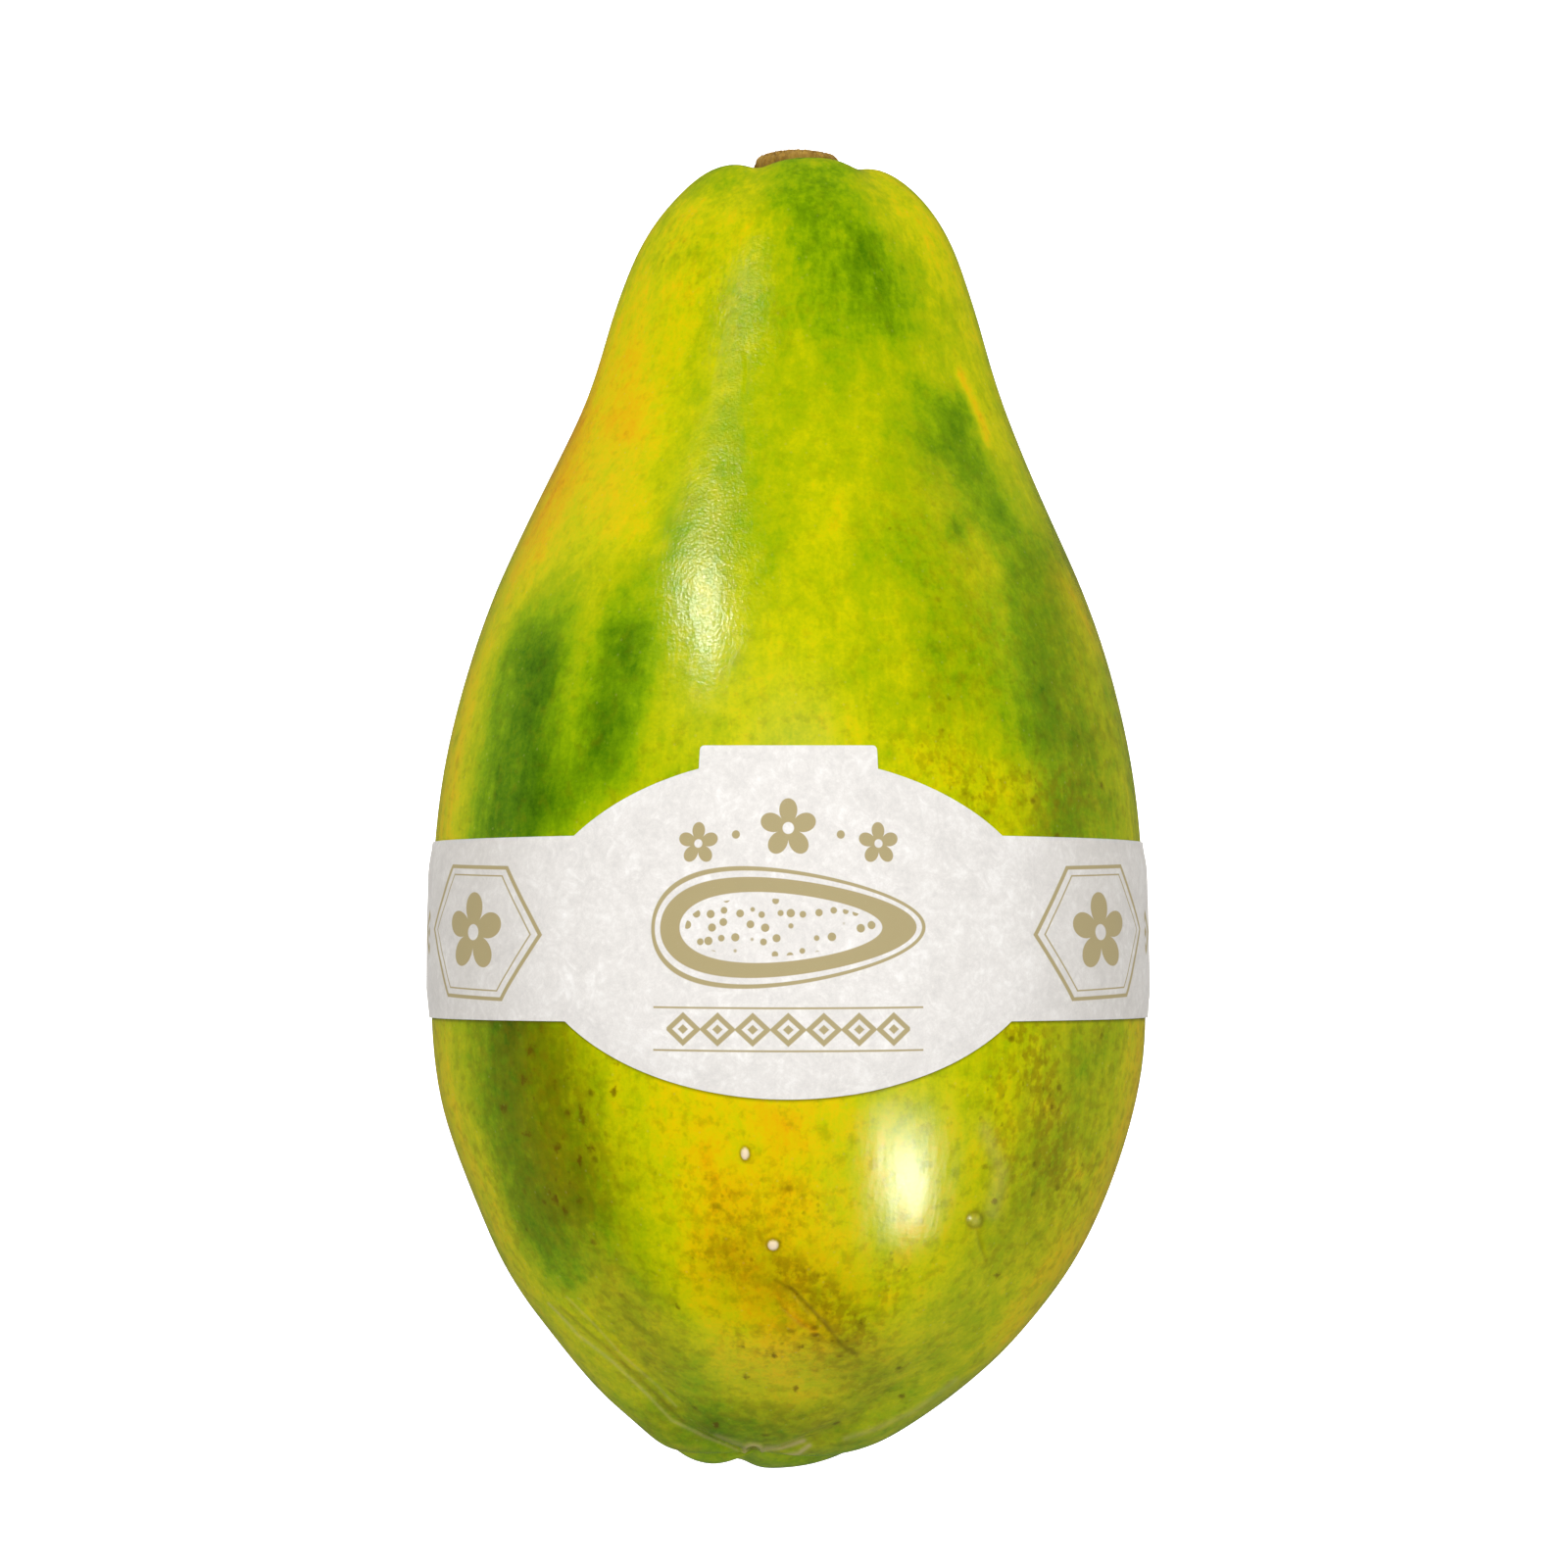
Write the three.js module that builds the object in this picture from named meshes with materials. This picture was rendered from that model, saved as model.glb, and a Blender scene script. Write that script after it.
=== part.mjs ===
import * as THREE from "three";

// A papaya lying on its side, with the stub of its stem and a paper band round its middle.
// Lengths are in millimetres and azimuths in degrees. +X is across the fruit, +Y towards its stem and +Z up.
// The origin is the middle of the band's flat underside, where the fruit rests.

// How the fruit lies
const NECK_DROP = 5; // the neck hangs this many degrees lower than the belly, so the weight is over the flat spot
const BELLY_ALONG = 89.4; // distance from the blossom end to the band's middle
const AXIS_HEIGHT = 56.8; // height of the fruit's axis over the surface, at the band's middle

// The fruit's outline, from the blossom scar round the belly to the hollow at the stem: [half-width, distance along]
const OUTLINE = [
  [0, 3.2],
  [2.5, 2.8],
  [9.2, 2.4],
  [15.2, 3.3],
  [19.2, 5],
  [23, 7.6],
  [28.5, 11.8],
  [33.6, 16.4],
  [40.1, 24],
  [47.2, 33.6],
  [53.3, 46.6],
  [58.7, 64.6],
  [59.5, 88.4],
  [58.1, 113.8],
  [52.2, 138.4],
  [41.7, 163],
  [34.7, 179.4],
  [30.1, 195.8],
  [26.1, 206],
  [20.9, 212.7],
  [17.2, 216],
  [14, 217.5],
  [10.6, 216.6],
  [9, 214.8],
  [7.2, 213.6],
  [3.5, 213.3],
  [0, 213.3],
];
const TOP_FULLNESS = 0.97; // thickness of the upper and the under half, against the half-width
const UNDER_FULLNESS = 0.955;

// The axis wanders sideways: [distance along, offset to +X]
const SIDEWAYS = [
  [2.3, -5.6],
  [5, -3.5],
  [10, -2.2],
  [16, -1],
  [30, -0.2],
  [60, 0],
  [90, 0],
  [130, 0.2],
  [160, 0.3],
  [178, 1],
  [200, 1.2],
  [212, 1.6],
];

// The blossom end turns up a little, so the scar is seen from above
const TIP_TURN = 0.29; // rise along the fruit for each millimetre of height
const TIP_REACH = 16; // distance along over which the turn fades

// The five furrows between the fruit's lobes: azimuth and depth at the blossom end, the belly and the stem
const FURROWS = [
  { blossom: [-50, 1.5], belly: [-34, 0.25], stem: [-27, 1.1], width: 13 },
  { blossom: [50, 1.2], belly: [48, 0.3], stem: [43, 1], width: 13 },
  { blossom: [122, 1.1], belly: [122, 0.35], stem: [118, 1.8], width: 14 },
  { blossom: [196, 1.5], belly: [190, 0.2], stem: [190, 1.8], width: 13 },
  { blossom: [-112, 1.2], belly: [-106, 0.35], stem: [-98, 1.8], width: 14 },
];
const SCAR_HOLLOW = 6; // the furrows run out this far from the scar and from the stem

// How much further each lobe's shoulder stands up round the stem: azimuth, lift and half-width
const SHOULDERS = [
  { azimuth: 17, lift: 0.6, width: 30 },
  { azimuth: -62, lift: 0.6, width: 26 },
  { azimuth: 82, lift: 0.5, width: 26 },
  { azimuth: 154, lift: 0.5, width: 28 },
  { azimuth: -136, lift: 0.3, width: 28 },
];

// Shallow swellings of the skin: azimuth, distance along, height, and reach round and along
const SWELLINGS = [
  { azimuth: 10, along: 150, height: 0.4, round: 24, reach: 30 },
  { azimuth: -60, along: 120, height: 0.5, round: 22, reach: 40 },
  { azimuth: 150, along: 60, height: 0.5, round: 26, reach: 30 },
  { azimuth: -88, along: 57, height: 0.4, round: 24, reach: 6 },
  { azimuth: -88, along: 44, height: -0.3, round: 24, reach: 6 },
];

// The stub of the stem, in the hollow: [half-width, height over the hollow's floor]
const STUB_OUTLINE = [
  [0, 0.4],
  [5.4, 0.4],
  [6.9, 1.2],
  [7.3, 3],
  [7.5, 6.2],
  [7.1, 7.3],
  [5.9, 7.8],
  [4.4, 7.4],
  [2.2, 7],
  [0, 6.9],
];
const STUB_RIDGES = 5;
const STUB_RIDGE_DEPTH = 0.35;
const STUB_WIDEST = 7.5;
const HOLLOW_FLOOR = 213.3; // distance along of the hollow's floor

// The paper band, seen from above: a strip with an oval panel on the fruit's upper side and a tab on the panel
const STRIP_HALF = 14.5;
const STRIP_RISE = 2.2; // the band's middle line is this much nearer the stem on the upper side
const PANEL_HALF_WIDTH = 41.6;
const PANEL_HALF_LENGTH = 26.4;
const TAB_HALF_WIDTH = 13.9;
const TAB_END = 30.4;
const PAPER_THICKNESS = 0.5;
const PAPER_GAP = 0.3; // clearance between the paper and the skin
const PAPER_SPRING = 0.18; // share by which the paper stays straight instead of following the skin
const SEAM_START = 127; // the glued lap: azimuth of its outer edge, and how far round it runs
const SEAM_LAP = 14;
const SEAM_SLOPE = 6;

// Mesh divisions
const FRUIT_COLUMNS = 80;
const FRUIT_RINGS = 46;
const RING_CROWDING = 0.7; // 0 spaces the rings evenly, near 1 crowds them to the two ends
const STUB_COLUMNS = 30;
const STUB_RINGS = 12;
const BAND_COLUMNS = 120;
const BAND_ROWS = 6;
const TAB_EDGE_STEP = 0.2; // degrees between the two columns at a sharp edge of the paper

const radians = THREE.MathUtils.degToRad;
const { clamp, lerp, smoothstep } = THREE.MathUtils;

// The smallest signed angle between two azimuths, in degrees.
function turnBetween(a, b) {
  return THREE.MathUtils.euclideanModulo(a - b + 180, 360) - 180;
}

// A round-shouldered bump of height 1, which fades over the given width.
function bump(distance, width) {
  return Math.exp(-((distance / width) ** 2));
}

// A smooth curve through points, in cubic pieces whose slope at each point comes from its two neighbours.
function curveThrough(places, values) {
  const last = places.length - 1;
  const chord = (i) => (values[i + 1] - values[i]) / (places[i + 1] - places[i]);
  const slopes = places.map((place, i) => {
    if (i === 0) return chord(0);
    if (i === last) return chord(last - 1);
    const before = place - places[i - 1];
    const after = places[i + 1] - place;
    return (chord(i - 1) * after + chord(i) * before) / (before + after);
  });
  return (at) => {
    const place = clamp(at, places[0], places[last]);
    let i = 0;
    while (i < last - 1 && place > places[i + 1]) i += 1;
    const span = places[i + 1] - places[i];
    const t = (place - places[i]) / span;
    return (
      values[i] * (1 + 2 * t) * (1 - t) ** 2 +
      values[i + 1] * t * t * (3 - 2 * t) +
      slopes[i] * span * t * (1 - t) ** 2 -
      slopes[i + 1] * span * t * t * (1 - t)
    );
  };
}

// An outline of [half-width, distance along] points as a curve, measured by the distance walked along it.
function outlineCurve(points) {
  const walked = [0];
  points.slice(1).forEach(([width, along], i) => {
    walked.push(walked[i] + Math.hypot(width - points[i][0], along - points[i][1]));
  });
  const widthAt = curveThrough(walked, points.map(([width]) => width));
  const alongAt = curveThrough(walked, points.map(([, along]) => along));
  const step = 0.05;
  return {
    length: walked.at(-1),
    at(distance) {
      const width = Math.max(widthAt(distance), 0);
      const along = alongAt(distance);
      const outAlong = widthAt(distance - step) - widthAt(distance + step);
      const outWidth = alongAt(distance + step) - alongAt(distance - step);
      const size = Math.hypot(outAlong, outWidth) || 1;
      return { width, along, outWidth: outWidth / size, outAlong: outAlong / size };
    },
  };
}

// The fruit's skin

const fruitOutline = outlineCurve(OUTLINE);
const sidewaysAt = curveThrough(
  SIDEWAYS.map(([along]) => along),
  SIDEWAYS.map(([, offset]) => offset),
);
const STEM_ALONG = 218;
const FURROW_PLACES = [0, 14, 40, 100, 160, 198, 213, STEM_ALONG];
const furrows = FURROWS.map(({ blossom, belly, stem, width }) => ({
  width,
  azimuthAt: curveThrough([0, 75, STEM_ALONG], [blossom[0], belly[0], stem[0]]),
  depthAt: curveThrough(FURROW_PLACES, [
    blossom[1],
    blossom[1],
    lerp(belly[1], blossom[1], 0.35),
    belly[1],
    belly[1],
    lerp(belly[1], stem[1], 0.4),
    stem[1],
    stem[1],
  ]),
}));

// How far the skin stands out of the plain outline, square to it.
function relief(along, width, azimuth) {
  const runOut = smoothstep(width, 0, SCAR_HOLLOW);
  const cut = furrows.reduce((sum, { azimuthAt, depthAt, width: reach }) => {
    return sum + depthAt(along) * bump(turnBetween(azimuth, azimuthAt(along)), reach);
  }, 0);
  const swell = SWELLINGS.reduce((sum, { azimuth: centre, along: middle, height, round, reach }) => {
    return sum + height * bump(turnBetween(azimuth, centre), round) * bump(along - middle, reach);
  }, 0);
  return swell - cut * runOut;
}

// How far a shoulder is lifted towards the stem.
function shoulderLift(along, width, azimuth) {
  const share = smoothstep(along, 200, 214) * smoothstep(width, 8.6, 12);
  return SHOULDERS.reduce((sum, { azimuth: centre, lift, width: reach }) => {
    return sum + lift * share * bump(turnBetween(azimuth, centre), reach);
  }, 0);
}

// A point of the skin in the fruit's own frame: +Y along its axis from the blossom end, +Z to its upper side.
function skinPoint(distance, azimuth) {
  const { width, along, outWidth, outAlong } = fruitOutline.at(distance);
  const out = relief(along, width, azimuth);
  const reach = width + out * outWidth;
  const side = Math.sin(radians(azimuth));
  const up = Math.cos(radians(azimuth));
  const fullness = up > 0 ? TOP_FULLNESS : UNDER_FULLNESS;
  const height = reach * up * fullness;
  const turn = TIP_TURN * bump(along - OUTLINE[2][1], TIP_REACH) * smoothstep(-along, -40, -OUTLINE[2][1]);
  const lift = shoulderLift(along, width, azimuth);
  return new THREE.Vector3(
    reach * side + sidewaysAt(along),
    along + out * outAlong + lift + turn * height,
    height,
  );
}

// The distance along the outline, on its long side, where it is at the given distance from the blossom end.
function outlineDistance(along) {
  let low = 20;
  let high = fruitOutline.length - 30;
  for (let i = 0; i < 40; i += 1) {
    const middle = (low + high) / 2;
    if (fruitOutline.at(middle).along < along) low = middle;
    else high = middle;
  }
  return (low + high) / 2;
}

// Closed surfaces

// A mesh from points and triangles of their numbers.
function meshGeometry(points, triangles) {
  const geometry = new THREE.BufferGeometry().setFromPoints(points);
  geometry.setIndex(triangles);
  geometry.computeVertexNormals();
  return geometry;
}

// A closed skin of rings between two end points; pointAt takes a ring from 0 to 1 and an azimuth.
function ringedSkin(rings, columns, pointAt) {
  const points = [pointAt(0, 0)];
  const triangles = [];
  for (let ring = 1; ring < rings; ring += 1) {
    for (let column = 0; column < columns; column += 1) {
      points.push(pointAt(ring / rings, (column * 360) / columns));
    }
  }
  points.push(pointAt(1, 0));
  const number = (ring, column) => 1 + (ring - 1) * columns + (column % columns);
  for (let column = 0; column < columns; column += 1) {
    triangles.push(0, number(1, column + 1), number(1, column));
    for (let ring = 1; ring < rings - 1; ring += 1) {
      const [a, b] = [number(ring, column), number(ring, column + 1)];
      const [c, d] = [number(ring + 1, column), number(ring + 1, column + 1)];
      triangles.push(a, b, c, b, d, c);
    }
    triangles.push(number(rings - 1, column), number(rings - 1, column + 1), points.length - 1);
  }
  return meshGeometry(points, triangles);
}

// A closed ring from one loop of points at each azimuth.
function loopedSkin(loops) {
  const size = loops[0].length;
  const triangles = [];
  loops.forEach((loop, column) => {
    const next = (column + 1) % loops.length;
    loop.forEach((point, row) => {
      const after = (row + 1) % size;
      const [a, b] = [column * size + row, next * size + row];
      const [c, d] = [column * size + after, next * size + after];
      triangles.push(a, b, c, b, d, c);
    });
  });
  return meshGeometry(loops.flat(), triangles);
}

// Groups

const papaya = new THREE.Group();
const lying = new THREE.Group();
lying.position.set(0, 0, AXIS_HEIGHT);
lying.rotation.x = -radians(NECK_DROP);
papaya.add(lying);
lying.updateMatrixWorld();

// The fruit stands on a flat spot: no point of it is lower than the given height.
function pressedFlat(point, lowest) {
  const placed = lying.localToWorld(point.clone());
  placed.z = Math.max(placed.z, lowest);
  return lying.worldToLocal(placed);
}

function makeFruit() {
  const lowest = PAPER_THICKNESS + PAPER_GAP;
  const geometry = ringedSkin(FRUIT_RINGS, FRUIT_COLUMNS, (share, azimuth) => {
    const crowded = share - (RING_CROWDING * Math.sin(2 * Math.PI * share)) / (2 * Math.PI);
    const point = skinPoint(crowded * fruitOutline.length, azimuth);
    point.y -= BELLY_ALONG;
    return pressedFlat(point, lowest);
  });
  const material = new THREE.MeshStandardMaterial({ color: 0x9db003, roughness: 0.35, metalness: 0 });
  const mesh = new THREE.Mesh(geometry, material);
  mesh.name = "papaya_fruit";
  return mesh;
}

function makeStub() {
  const outline = outlineCurve(STUB_OUTLINE);
  const geometry = ringedSkin(STUB_RINGS, STUB_COLUMNS, (share, azimuth) => {
    const { width, along } = outline.at(share * outline.length);
    const ridge = STUB_RIDGE_DEPTH * (1 - Math.cos(radians(azimuth * STUB_RIDGES))) * 0.5;
    const reach = width * (1 - ridge / STUB_WIDEST);
    return new THREE.Vector3(reach * Math.sin(radians(azimuth)), along, reach * Math.cos(radians(azimuth)));
  });
  const material = new THREE.MeshStandardMaterial({ color: 0x7d6420, roughness: 0.8, metalness: 0 });
  const mesh = new THREE.Mesh(geometry, material);
  mesh.name = "stem_stub";
  mesh.position.set(sidewaysAt(HOLLOW_FLOOR), HOLLOW_FLOOR - BELLY_ALONG, 0);
  return mesh;
}

// The distance of the skin from the band's own level axis, at an azimuth and a distance along +Y.
function skinReach(azimuth, y) {
  const side = Math.sin(radians(azimuth));
  const up = Math.cos(radians(azimuth));
  let low = 30;
  let high = 75;
  for (let i = 0; i < 40; i += 1) {
    const reach = (low + high) / 2;
    const point = lying.worldToLocal(new THREE.Vector3(reach * side, y, AXIS_HEIGHT + reach * up));
    const along = point.y + BELLY_ALONG;
    const around = THREE.MathUtils.radToDeg(Math.atan2(point.x - sidewaysAt(along), point.z / TOP_FULLNESS));
    const skin = skinPoint(outlineDistance(along), around);
    const inside = Math.hypot(point.x, point.z) < Math.hypot(skin.x, skin.z);
    if (inside) low = reach;
    else high = reach;
  }
  return (low + high) / 2;
}

const tabAzimuth = THREE.MathUtils.radToDeg(Math.asin(TAB_HALF_WIDTH / skinReach(13, TAB_END)));

// The paper's two edges at an azimuth, as distances along +Y.
function paperEdges(azimuth, reach) {
  const x = reach * Math.sin(radians(azimuth));
  const onTop = Math.max(Math.cos(radians(azimuth)), 0);
  const inPanel = onTop > 0 && Math.abs(x) < PANEL_HALF_WIDTH;
  const panel = inPanel ? PANEL_HALF_LENGTH * Math.sqrt(1 - (x / PANEL_HALF_WIDTH) ** 2) : 0;
  const half = Math.max(STRIP_HALF, panel);
  const middle = STRIP_RISE * onTop;
  return { from: middle - half, to: Math.abs(azimuth) < tabAzimuth ? TAB_END : middle + half };
}

// The azimuths of the band's columns: even steps, with two close together at each sharp edge of the paper.
function bandAzimuths() {
  const even = Array.from({ length: BAND_COLUMNS }, (_, i) => -180 + (i * 360) / BAND_COLUMNS);
  const edges = [-tabAzimuth, tabAzimuth, SEAM_START];
  const sharp = edges.flatMap((edge) => [edge - TAB_EDGE_STEP / 2, edge + TAB_EDGE_STEP / 2]);
  const clear = even.filter((azimuth) => sharp.every((edge) => Math.abs(azimuth - edge) > 0.8));
  return [...clear, ...sharp].sort((a, b) => a - b);
}

// The extra thickness where the band's ends lap.
function seamThickness(azimuth) {
  const past = azimuth - SEAM_START;
  if (past < 0 || past > SEAM_LAP + SEAM_SLOPE) return 0;
  return PAPER_THICKNESS * (1 - smoothstep(past, SEAM_LAP, SEAM_LAP + SEAM_SLOPE));
}

function makeBand() {
  const loops = bandAzimuths().map((azimuth) => {
    const belly = skinReach(azimuth, 0);
    const slope = (skinReach(azimuth, 6) - skinReach(azimuth, -6)) / 12;
    const side = Math.sin(radians(azimuth));
    const up = Math.cos(radians(azimuth));
    const place = (y, thickness, lowest) => {
      const straight = belly + slope * y;
      const skin = skinReach(azimuth, y);
      const reach = lerp(skin, Math.max(skin, straight), PAPER_SPRING) + PAPER_GAP + thickness;
      return new THREE.Vector3(reach * side, y, Math.max(AXIS_HEIGHT + reach * up, lowest));
    };
    const { from, to } = paperEdges(azimuth, belly + PAPER_GAP);
    const rows = Array.from({ length: BAND_ROWS + 1 }, (_, i) => lerp(from, to, i / BAND_ROWS));
    const outer = rows.map((y) => place(y, PAPER_THICKNESS + seamThickness(azimuth), 0));
    const inner = rows.map((y) => place(y, 0, PAPER_THICKNESS));
    return [...outer, ...inner.reverse()];
  });
  const material = new THREE.MeshStandardMaterial({ color: 0xece8e3, roughness: 0.85, metalness: 0 });
  const mesh = new THREE.Mesh(loopedSkin(loops), material);
  mesh.name = "paper_band";
  return mesh;
}

lying.add(makeFruit(), makeStub());
papaya.add(makeBand());

export default papaya;
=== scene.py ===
# A papaya lying on its side with a paper band round its middle, on a pale floor, seen from straight above.
# Blender works in metres. Sizes here are in millimetres, times MM where they reach Blender.

import math

import bmesh
import bpy
import numpy as np
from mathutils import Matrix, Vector, noise
from mathutils.bvhtree import BVHTree


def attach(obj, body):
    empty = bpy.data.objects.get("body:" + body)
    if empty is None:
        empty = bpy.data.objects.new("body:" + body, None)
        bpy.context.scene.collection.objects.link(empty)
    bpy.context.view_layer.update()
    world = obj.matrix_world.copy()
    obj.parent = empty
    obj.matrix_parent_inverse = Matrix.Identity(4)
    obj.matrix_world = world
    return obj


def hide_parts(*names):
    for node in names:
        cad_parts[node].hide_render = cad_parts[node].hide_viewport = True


MM = 0.001

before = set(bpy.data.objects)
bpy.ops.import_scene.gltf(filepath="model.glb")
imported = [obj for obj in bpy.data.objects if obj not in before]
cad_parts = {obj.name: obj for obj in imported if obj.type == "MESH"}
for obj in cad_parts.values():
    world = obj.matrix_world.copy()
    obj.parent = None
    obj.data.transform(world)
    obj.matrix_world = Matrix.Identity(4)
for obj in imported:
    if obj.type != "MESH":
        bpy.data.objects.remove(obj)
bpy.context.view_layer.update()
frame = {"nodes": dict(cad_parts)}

# How the fruit lies in the frame, as in the part's source
AXIS_HEIGHT = 56.8  # height of the fruit's axis at the band's middle
NECK_DROP = math.radians(5)  # the axis falls this much towards the stem
BELLY_ALONG = 89.4  # distance from the blossom end to the band's middle

# Camera, straight above
CAMERA_HEIGHT = 786
CAMERA_ACROSS = -0.66
CAMERA_ALONG = 24.4
LENS = 100
SENSOR = 36
VIEW_PLANE = 57.1  # height of the plane on which distances are read from above

# Where marks are placed: "seen" coordinates are millimetres across the fruit and along it from the blossom
# end, as the camera sees them. "Round" coordinates are the azimuth in degrees and the distance along.

# Ripeness runs from 0, deep green, to 1, orange
RIPENESS_AT = ((0, 0.4), (8, 0.49), (22, 0.57), (60, 0.58), (75, 0.52), (110, 0.51), (150, 0.5), (220, 0.5))
SIDE_RIPENESS = 0.44
# Streaks on the upper side: shift of ripeness, half-width, path in seen coordinates
SEEN_STREAKS = (
    # left flank, dark green
    (-0.35, 7.2, ((-42.5, 137), (-44.2, 130.6), (-46, 119), (-47.6, 107.4), (-48.5, 98))),
    (-0.12, 3, ((-40, 134), (-41, 124), (-44, 106))),
    (-0.1, 2.5, ((-35.5, 147), (-37, 144))),
    (-0.28, 4.8, ((-47.5, 80), (-48.5, 68), (-47.5, 57), (-45, 46), (-41.5, 38), (-38.5, 32))),
    # second streak beside it
    (-0.26, 5.2, ((-27.5, 138), (-29, 127.5), (-32.6, 118), (-37.6, 110))),
    (-0.14, 4, ((-29.5, 125), (-30, 116))),
    (-0.12, 4.5, ((-19.5, 156), (-21, 152), (-25, 142), (-27, 134))),
    # crown lobe
    (-0.18, 5, ((0, 216), (3, 208), (6, 200))),
    (-0.2, 4.5, ((8, 215), (12, 207), (15, 199), (17, 191))),
    (-0.08, 3.5, ((12, 203), (12.5, 194))),
    # dark corner of the left shoulder
    (-0.06, 3, ((-13, 215), (-10, 213))),
    (-0.12, 1.6, ((-19, 201), (-16, 203))),
    # right side of the neck
    (-0.05, 5, ((19, 196), (19, 190))),
    (-0.24, 3.2, ((28, 176), (29, 170), (32, 164), (36, 157))),
    (-0.14, 4.5, ((21, 178), (25, 171))),
    (-0.08, 5, ((4, 194), (9, 190), (10, 184))),
    (-0.05, 4, ((2, 180), (2, 175))),
    (-0.2, 4.5, ((39, 151), (40, 140), (42, 130), (41, 122))),
    (-0.08, 3, ((44, 142), (45.5, 132))),
    (-0.1, 6, ((19, 153), (26, 144), (30, 134), (35, 128))),
    (-0.16, 6, ((47, 122), (48, 106))),
    (-0.22, 1.8, ((28.4, 157.5), (28.2, 156.5))),
    # middle of the neck
    (-0.06, 5, ((-9, 172), (-7, 163), (-5, 150))),
    (-0.08, 4, ((-5, 193), (3, 192))),
    # below the band
    (-0.13, 6, ((-40, 72), (-37, 60), (-36, 48), (-33, 39))),
    (-0.12, 3.5, ((-29, 40), (-26, 35), (-24, 29))),
    (-0.06, 4, ((-22, 38), (-19, 28), (-15, 16))),
    (-0.1, 5, ((50, 68), (47, 56), (41, 47))),
    (-0.06, 4.5, ((37, 40), (34, 30), (30, 22), (24, 14), (14, 9))),
    # round the blossom end
    (-0.08, 4, ((-25, 6), (-11, 6), (0, 4))),
    (-0.12, 3.5, ((-17, 14), (-13, 8))),
    (-0.1, 3, ((-12, 5), (-7, 6))),
    # yellow furrow at the left of the crown, running down the neck
    (0.1, 2.9, ((-4, 217), (-7, 211), (-11, 203), (-15, 194), (-19, 186))),
    (0.14, 4, ((-16, 208), (-20, 200), (-23, 191), (-24, 180))),
    (0.08, 4, ((-26, 204), (-27, 196), (-29, 186))),
    (0.18, 7, ((-26, 172), (-28, 166), (-27, 158))),
    (0.1, 5, ((-28, 186), (-29, 176))),
    (0.06, 2.2, ((-25.5, 186), (-26.5, 172))),
    # yellow gap between the dark streaks
    (0.05, 2, ((-33, 143), (-34.5, 134), (-36.5, 126))),
    # left edge: the bands along the silhouette are partly the skin's colour and partly painted rim light
    (0.26, 3, ((-33, 184), (-38.5, 166), (-43, 152), (-48, 142), (-52.2, 130.6), (-55, 119), (-57, 104))),
    (0.1, 6, ((-33, 174), (-36, 163), (-38, 156))),
    (0.12, 2.4, ((-59.5, 74), (-57.5, 62), (-52.5, 50), (-48, 41), (-42, 29))),
    # middle, above the band
    (0.06, 9, ((0, 138), (-6, 130), (0, 120), (9, 122))),
    (0.12, 3, ((7.5, 160), (8, 155))),
    (0.1, 3, ((34, 151), (30, 149))),
    (0.08, 5, ((22, 118), (36, 113))),
    # right edge
    (0.34, 0.8, ((28.6, 183), (30.8, 178), (33.4, 171.6))),
    (0.07, 2, ((29, 190), (33, 180), (36, 170))),
    (0.14, 1.5, ((46, 149), (49.5, 142), (52.5, 136))),
    (0.12, 4, ((14, 216), (22, 209), (27, 199))),
    # the band along the right silhouette below the paper: partly the skin's colour and partly painted rim
    # light
    (0.13, 2.6, ((59, 74), (57, 57), (53.5, 46), (48.5, 37), (41.5, 28), (36.5, 21))),
    (0.22, 1, ((48.9, 49.2), (48.6, 48.4))),
    (0.22, 0.9, ((43.6, 59.6), (43.4, 59))),
    # yellow belly below the band
    (0.16, 12, ((-9, 62), (-8, 45), (-5, 32), (-2, 20))),
    (0.08, 8, ((7, 58), (7, 42), (5, 30))),
    (0.06, 4.5, ((24, 43), (20, 35))),
    (0.06, 4, ((-18, 62), (-17, 50), (-15, 28))),
    (0.06, 3.5, ((-14, 51), (-9, 43), (2, 45))),
    (0.08, 3, ((-3, 58), (0, 54))),
    (0.1, 2.5, ((-13, 37), (-10, 36))),
    # the lighter yellow crest beside the diagonal line: painted light on its lit side
    (0.14, 0.8, ((-1.7, 29.4), (-1, 26.8), (1, 24.9), (4.3, 22.3))),
)
# Streaks of the sides and the underside: shift of ripeness, half-width, path in round coordinates
ROUND_STREAKS = (
    (0.2, 9, ((-98, 206), (-102, 170), (-104, 120), (-106, 60), (-110, 20))),
    (-0.3, 7, ((-128, 150), (-124, 110), (-126, 70), (-130, 40))),
    (-0.16, 6, ((-150, 190), (-146, 150), (-150, 120))),
    (0.14, 12, ((-165, 130), (-170, 90), (-168, 50))),
    (-0.2, 8, ((170, 205), (172, 160), (166, 120))),
    (-0.34, 8, ((142, 140), (138, 100), (140, 60), (146, 30))),
    (0.12, 8, ((118, 206), (120, 170), (121, 120), (122, 70), (122, 30))),
    (-0.18, 6, ((98, 160), (100, 120), (102, 80))),
    (0.2, 7, ((92, 60), (96, 35), (104, 18))),
    (-0.16, 7, ((-140, 22), (180, 12), (140, 16))),
    (0.12, 10, ((178, 70), (175, 40))),
)
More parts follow.
